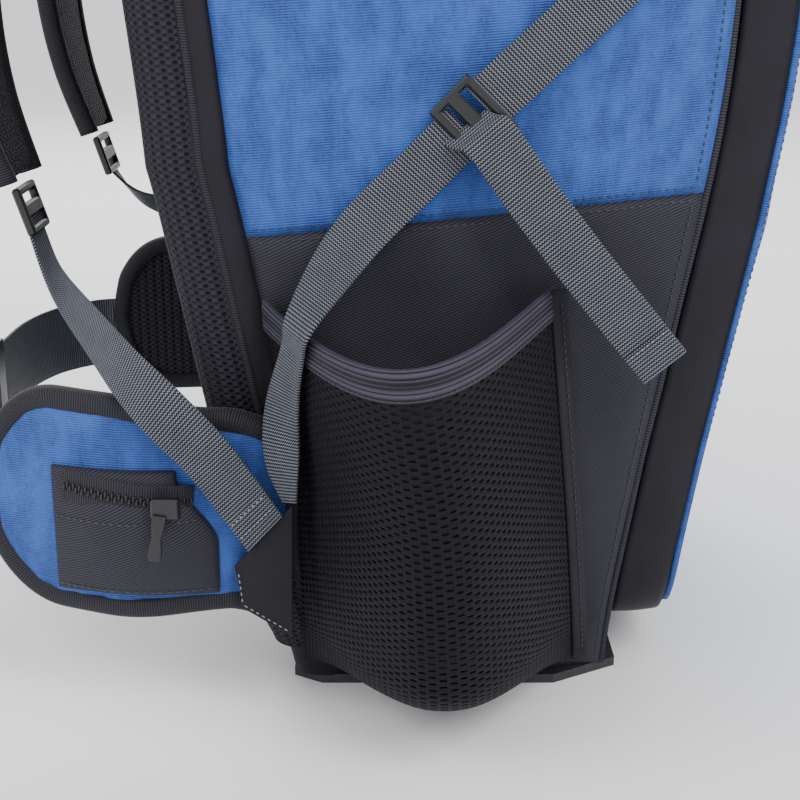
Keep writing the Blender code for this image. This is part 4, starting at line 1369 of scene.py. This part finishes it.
for side, word in ((-1, "left"), (1, "right")):
    spots = [
        Vector(spot)
        for spot in (
            (side * 0.0480, 0.1225, 0.3900),
            (side * 0.0510, 0.1480, 0.4020),
            (side * 0.0580, 0.1720, 0.3880),
            (side * 0.0700, 0.1850, 0.3550),
            (side * 0.0780, 0.1870, 0.3150),
            (side * 0.0820, 0.1870, 0.2750),
            (side * 0.0840, 0.1820, 0.2400),
            (side * 0.0840, 0.1720, 0.2080),
        )
    ]
    tilts = (0.0, 0.05, 0.15, 0.12, 0.08, 0.04, 0.0, 0.0)
    directions = [Vector((side, 0, tilt)).normalized() for tilt in tilts]
    sizes = [Vector((size, 0, 0)) for size in (0.060, 0.064, 0.066, 0.066, 0.062, 0.058, 0.052, 0.042)]
    table, _ = even_path(spots, 200)

    def strap_surface(u, v, lift=0.0):
        t = along_table(table, v)
        across = curve_point(directions, t).normalized()
        along = curve_point(spots, min(t + 0.01, 1)) - curve_point(spots, max(t - 0.01, 0))
        out = across.cross(along).normalized() * side
        return curve_point(spots, t) + across * curve_point(sizes, t).x * (u - 0.5) + out * -lift

    shares = [step / 100 for step in range(101)]
    middle = [
        (strap_surface(0.5, share), curve_point(sizes, along_table(table, share)).x / 2) for share in shares
    ]
    outs = [(strap_surface(0.5, share, 0.001) - strap_surface(0.5, share)).normalized() for share in shares]
    if outs[60].y < 0:
        outs = [-out for out in outs]
    bm, width, length = cut_cloth(strap_surface, 18, 90)
    bmesh.ops.recalc_face_normals(bm, faces=bm.faces)
    bmesh.ops.solidify(bm, geom=bm.faces[:], thickness=FOAM_SLAB)

    def strap_nearest(place):
        index = min(range(0, 101, 2), key=lambda i: (middle[i][0] - place).length_squared)
        away = place - middle[index][0]
        depth = away.dot(outs[index])
        sideways = away - outs[index] * depth
        return index, sideways.length, depth

    def strap_held(place):
        index, sideways, _ = strap_nearest(place)
        return sideways > middle[index][1] - 0.005 or index < 2 or index > 98

    depths = [strap_nearest(vert.co) for vert in bm.verts]
    off_centre = sum(depth for _, _, depth in depths) / len(depths)
    for vert, (index, _, _) in zip(bm.verts, depths):
        vert.co -= outs[index] * off_centre
    bm = blow_up(bm, f"shoulder_strap_{word}", 0.0024, strap_held, 0.0034)
    lay_out(
        bm,
        lambda place, side=side: (place.x, place.z),
        lambda face: strap_nearest(face.calc_center_median())[2] < -0.0012,
    )
    piece = put(
        bm, f"shoulder_strap_pad_{word}", [LINING, MESH_PAD], "harness", [f"shoulder_strap_{word}"]
    )
    soften(piece)
    for edge, share in (("inner", 0.0), ("outer", 1.0)):
        line = [strap_surface(share, step / 90) for step in range(91)]
        centre = [strap_surface(0.5, step / 90) for step in range(91)]

        def edge_out(index, line=line, centre=centre):
            return line[index] - centre[index]

        def edge_across(index):
            return outs[min(int(index / 90 * 100), 100)]

        bind(f"strap_binding_{edge}_{word}", line, edge_out, edge_across, 4.8, 4.0, "harness")
    chain = [middle[step][0] + outs[step] * 0.0070 for step in range(6, 99, 6)]
    across = [curve_point(directions, along_table(table, step / 100)) for step in range(6, 99, 6)]
    piece, chain_surface = webbing(f"strap_chain_{word}", chain, across, STRAP, "harness", (), 110)
    rows = []
    for share in (0.04, 0.16, 0.68, 0.82, 0.97):
        inside = middle[50][0] - outs[50] * 0.1
        rows.append(along_surface(chain_surface, (0.08, share), (0.92, share), 0.0011, 8, inside))
        rows.append(along_surface(chain_surface, (0.08, share + 0.008), (0.92, share + 0.008), 0.0011, 8, inside))
    sew(f"strap_chain_stitching_{word}", rows, "harness", PALE_THREAD, pitch=0.0018, length=0.0013)

# Chest strap. 15 mm webbing runs from a slider on each shoulder strap to a small side-release buckle.
level = 0.310
y = (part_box("sternum_slider_left")[0].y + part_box("sternum_slider_left")[1].y) / 2
for side, word, end in ((-1, "left", 0.0325), (1, "right", 0.0300)):
    path = (
        (side * 0.0740, y + 0.0020, level),
        (side * 0.0664, y + 0.0014, level),
        (side * 0.0560, y + 0.001, level),
        (side * end, y + 0.001, level),
    )
    body = "sternum" if side < 0 else None
    piece, _ = webbing(
        f"chest_strap_{word}", path, ((0, 0, 1),), 0.015, body, [f"sternum_webbing_{word}"], 50, 0.0013
    )
    if side > 0:
        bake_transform(piece)

# Lid. A soft domed cap of blue nylon with a zipped pocket in it: top and side band are joined by a corded
# seam, the hem is turned up, and a dark floor closes the pocket from below.
LID_EDGE = 0.72  # share of the way from the middle to the hem at which the top turns down
LID_SEAM = 0.468  # height of the corded seam
LID_MIDDLE_Y = 0.006


def lid_place(s, t, grow=0.0):
    """The lid's cloth at s, t: its top within LID_EDGE and its side band beyond."""
    reach = max(abs(s), abs(t))
    if reach < 1e-6:
        return Vector((0.0, LID_MIDDLE_Y, 0.504 + grow))
    corner = 1 / ((abs(s) / reach) ** 16 + (abs(t) / reach) ** 16) ** (1 / 16)
    spread = min(reach / LID_EDGE, 1.0)
    x = (0.1500 + grow) * s / reach * corner * spread
    y = LID_MIDDLE_Y + (0.1160 + grow) * t / reach * corner * spread
    if reach < LID_EDGE:
        return Vector((x, y, LID_SEAM + 0.036 * (1 - spread**2) ** 0.85 + grow))
    hem = 0.4405 - 0.014 * ease((0.10 - y) / 0.15)
    down = (reach - LID_EDGE) / (1 - LID_EDGE)
    bow = 0.0022 * math.sin(math.pi * down)
    return Vector((x * (1 + bow / 0.15), y + bow * t / reach, LID_SEAM + (hem - LID_SEAM) * down))


def lid_surface(u, v):
    s, t = 2 * u - 1, 2 * v - 1
    reach = max(abs(s), abs(t))
    place = lid_place(s, t)
    slack = 1 - ease((reach - 0.45) / 0.25) * 0.8
    broad, fine = ripple(place.x, place.y, 0.060, 0.0035, 3.0), ripple(place.x, place.y, 0.022, 0.0010, 3.0)
    place.z += (broad + fine) * slack
    if abs(reach - LID_EDGE) < 0.04:
        place.z -= 0.0014 * (1 - abs(reach - LID_EDGE) / 0.04)
    return place


bm, width, length = cut_cloth(lid_surface, 116, 116, (0, 0, 1))
piece = put(bm, "lid_cap", [BLUE, LINING], "lid", ["lid_shell"])
thicken(piece, PANEL, inner=1)


def square_path(reach, grow, count=160):
    """A run round the lid at one reach from its middle."""
    path = []
    for step in range(count + 1):
        share = (step / count * 4) % 4
        edge, part = int(share), share - int(share)
        s, t = ((2 * part - 1, -1), (1, 2 * part - 1), (1 - 2 * part, 1), (-1, 1 - 2 * part))[edge]
        path.append(lid_place(s * reach, t * reach, grow))
    return path


cord_line = square_path(0.722, 0.0008)
lid_middle = Vector((0.0, LID_MIDDLE_Y, 0.455))
bind("lid_corded_seam", cord_line, lambda i: cord_line[i] - lid_middle, lambda i: (0, 0, 1), 1.5, 1.5, "lid")
hem_line = square_path(0.985, 0.0)
bind(
    "lid_hem_tape",
    hem_line,
    lambda i: (0, 0, -1),
    lambda i: Vector((hem_line[i].x, (hem_line[i].y - LID_MIDDLE_Y) * 1.3, 0)),
    2.3,
    4.5,
    "lid",
)
lid_rows = []
for reach in (0.700, 0.752, 0.93):
    lid_rows.append(
        [(spot + (spot - lid_middle).normalized() * 0.0016, spot - lid_middle) for spot in square_path(reach, 0.0)]
    )
sew("lid_stitching", lid_rows, "lid")


def lid_floor_surface(u, v):
    s, t = 2 * u - 1, 2 * v - 1
    reach = max(abs(s), abs(t), 1e-6)
    corner = 1 / max((abs(s) / reach) ** 8 + (abs(t) / reach) ** 8, 0.01) ** (1 / 8)
    sag = 0.0012 * (1 - reach**2)
    return Vector((0.142 * s * corner, 0.005 + 0.109 * t * corner, 0.4530 - sag))


bm, width, length = cut_cloth(lid_floor_surface, 40, 32, (0, 0, -1))
piece = put(bm, "lid_pocket_floor", [LINING], "lid", ["lid_floor"])
thicken(piece, 0.0014)
track = [Vector((-0.114 + 0.228 * step / 8, 0.1232, 0.4560)) for step in range(9)]
coil_zip("lid_zip", track, (0, 1, 0), "lid")
pull_top = box_middle("lid_zip_slider") + Vector((0, 0.0020, -0.003))
zip_pull("lid_zip_pull", pull_top, (0.15, 0.10, -1), (0, 1, 0), "lid_zip")


def lid_flap_surface(u, v):
    profile = ((0.1143, 0.4260), (0.1152, 0.4330), (0.1195, 0.4380), (0.1212, 0.4460))
    place = curve_point([Vector((0, y, z)) for y, z in profile], v)
    return Vector((-0.122 + 0.244 * u, place.y, place.z))


bm, width, length = cut_cloth(lid_flap_surface, 30, 14, (0, 1, 0))
piece = put(bm, "lid_hinge_cloth", [TWILL], None, ())
thicken(piece, 0.0012)
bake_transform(piece)

# Lid strap. 20 mm webbing sewn under the lid's front hem, with the buckle's pronged half on its end; the
# hollow half is held lower down on the front pocket by a short anchor.
line = (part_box("lid_buckle_female")[0].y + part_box("lid_buckle_female")[1].y) / 2
path = (
    (0, -0.1120, 0.462),
    (0, -0.1145, 0.440),
    (0, -0.1320, 0.415),
    (0, face_y(0, 0.385) - 0.0085, 0.385),
    (0, line - 0.0004, 0.3560),
)
piece, _ = webbing("lid_strap_front", path, ((1, 0, 0),), STRAP, None, ["lid_strap"], 90)
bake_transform(piece)
path = (
    (0, line, 0.3010),
    (0, line + 0.001, 0.285),
    (0, face_y(0, 0.25) - 0.0026, 0.250),
    (0, face_y(0, 0.20) - 0.0026, 0.200),
)
_, surface = webbing("lid_anchor_strap", path, ((1, 0, 0),), STRAP, "pack", ["lid_strap_anchor"], 60)
sew("lid_anchor_stitching", box_stitch(surface, 0.78, 0.96, (0, 0, 0.22)), "pack", PALE_THREAD)

# Haul loop. A doubled webbing handle sewn into the seam at the top of the back.
path = (
    (-0.0110, 0.1165, 0.4220),
    (-0.0110, 0.1200, 0.4080),
    (-0.0060, 0.1215, 0.3880),
    (0.0060, 0.1215, 0.3880),
    (0.0110, 0.1200, 0.4080),
    (0.0110, 0.1165, 0.4220),
)
across = ((-1, 0, 0), (-1, 0, 0.1), (-0.6, 0, -0.8), (0.6, 0, -0.8), (1, 0, 0.1), (1, 0, 0))
webbing("haul_loop_handle", path, across, 0.010, "haul", ["haul_loop"], 80, 0.0018)
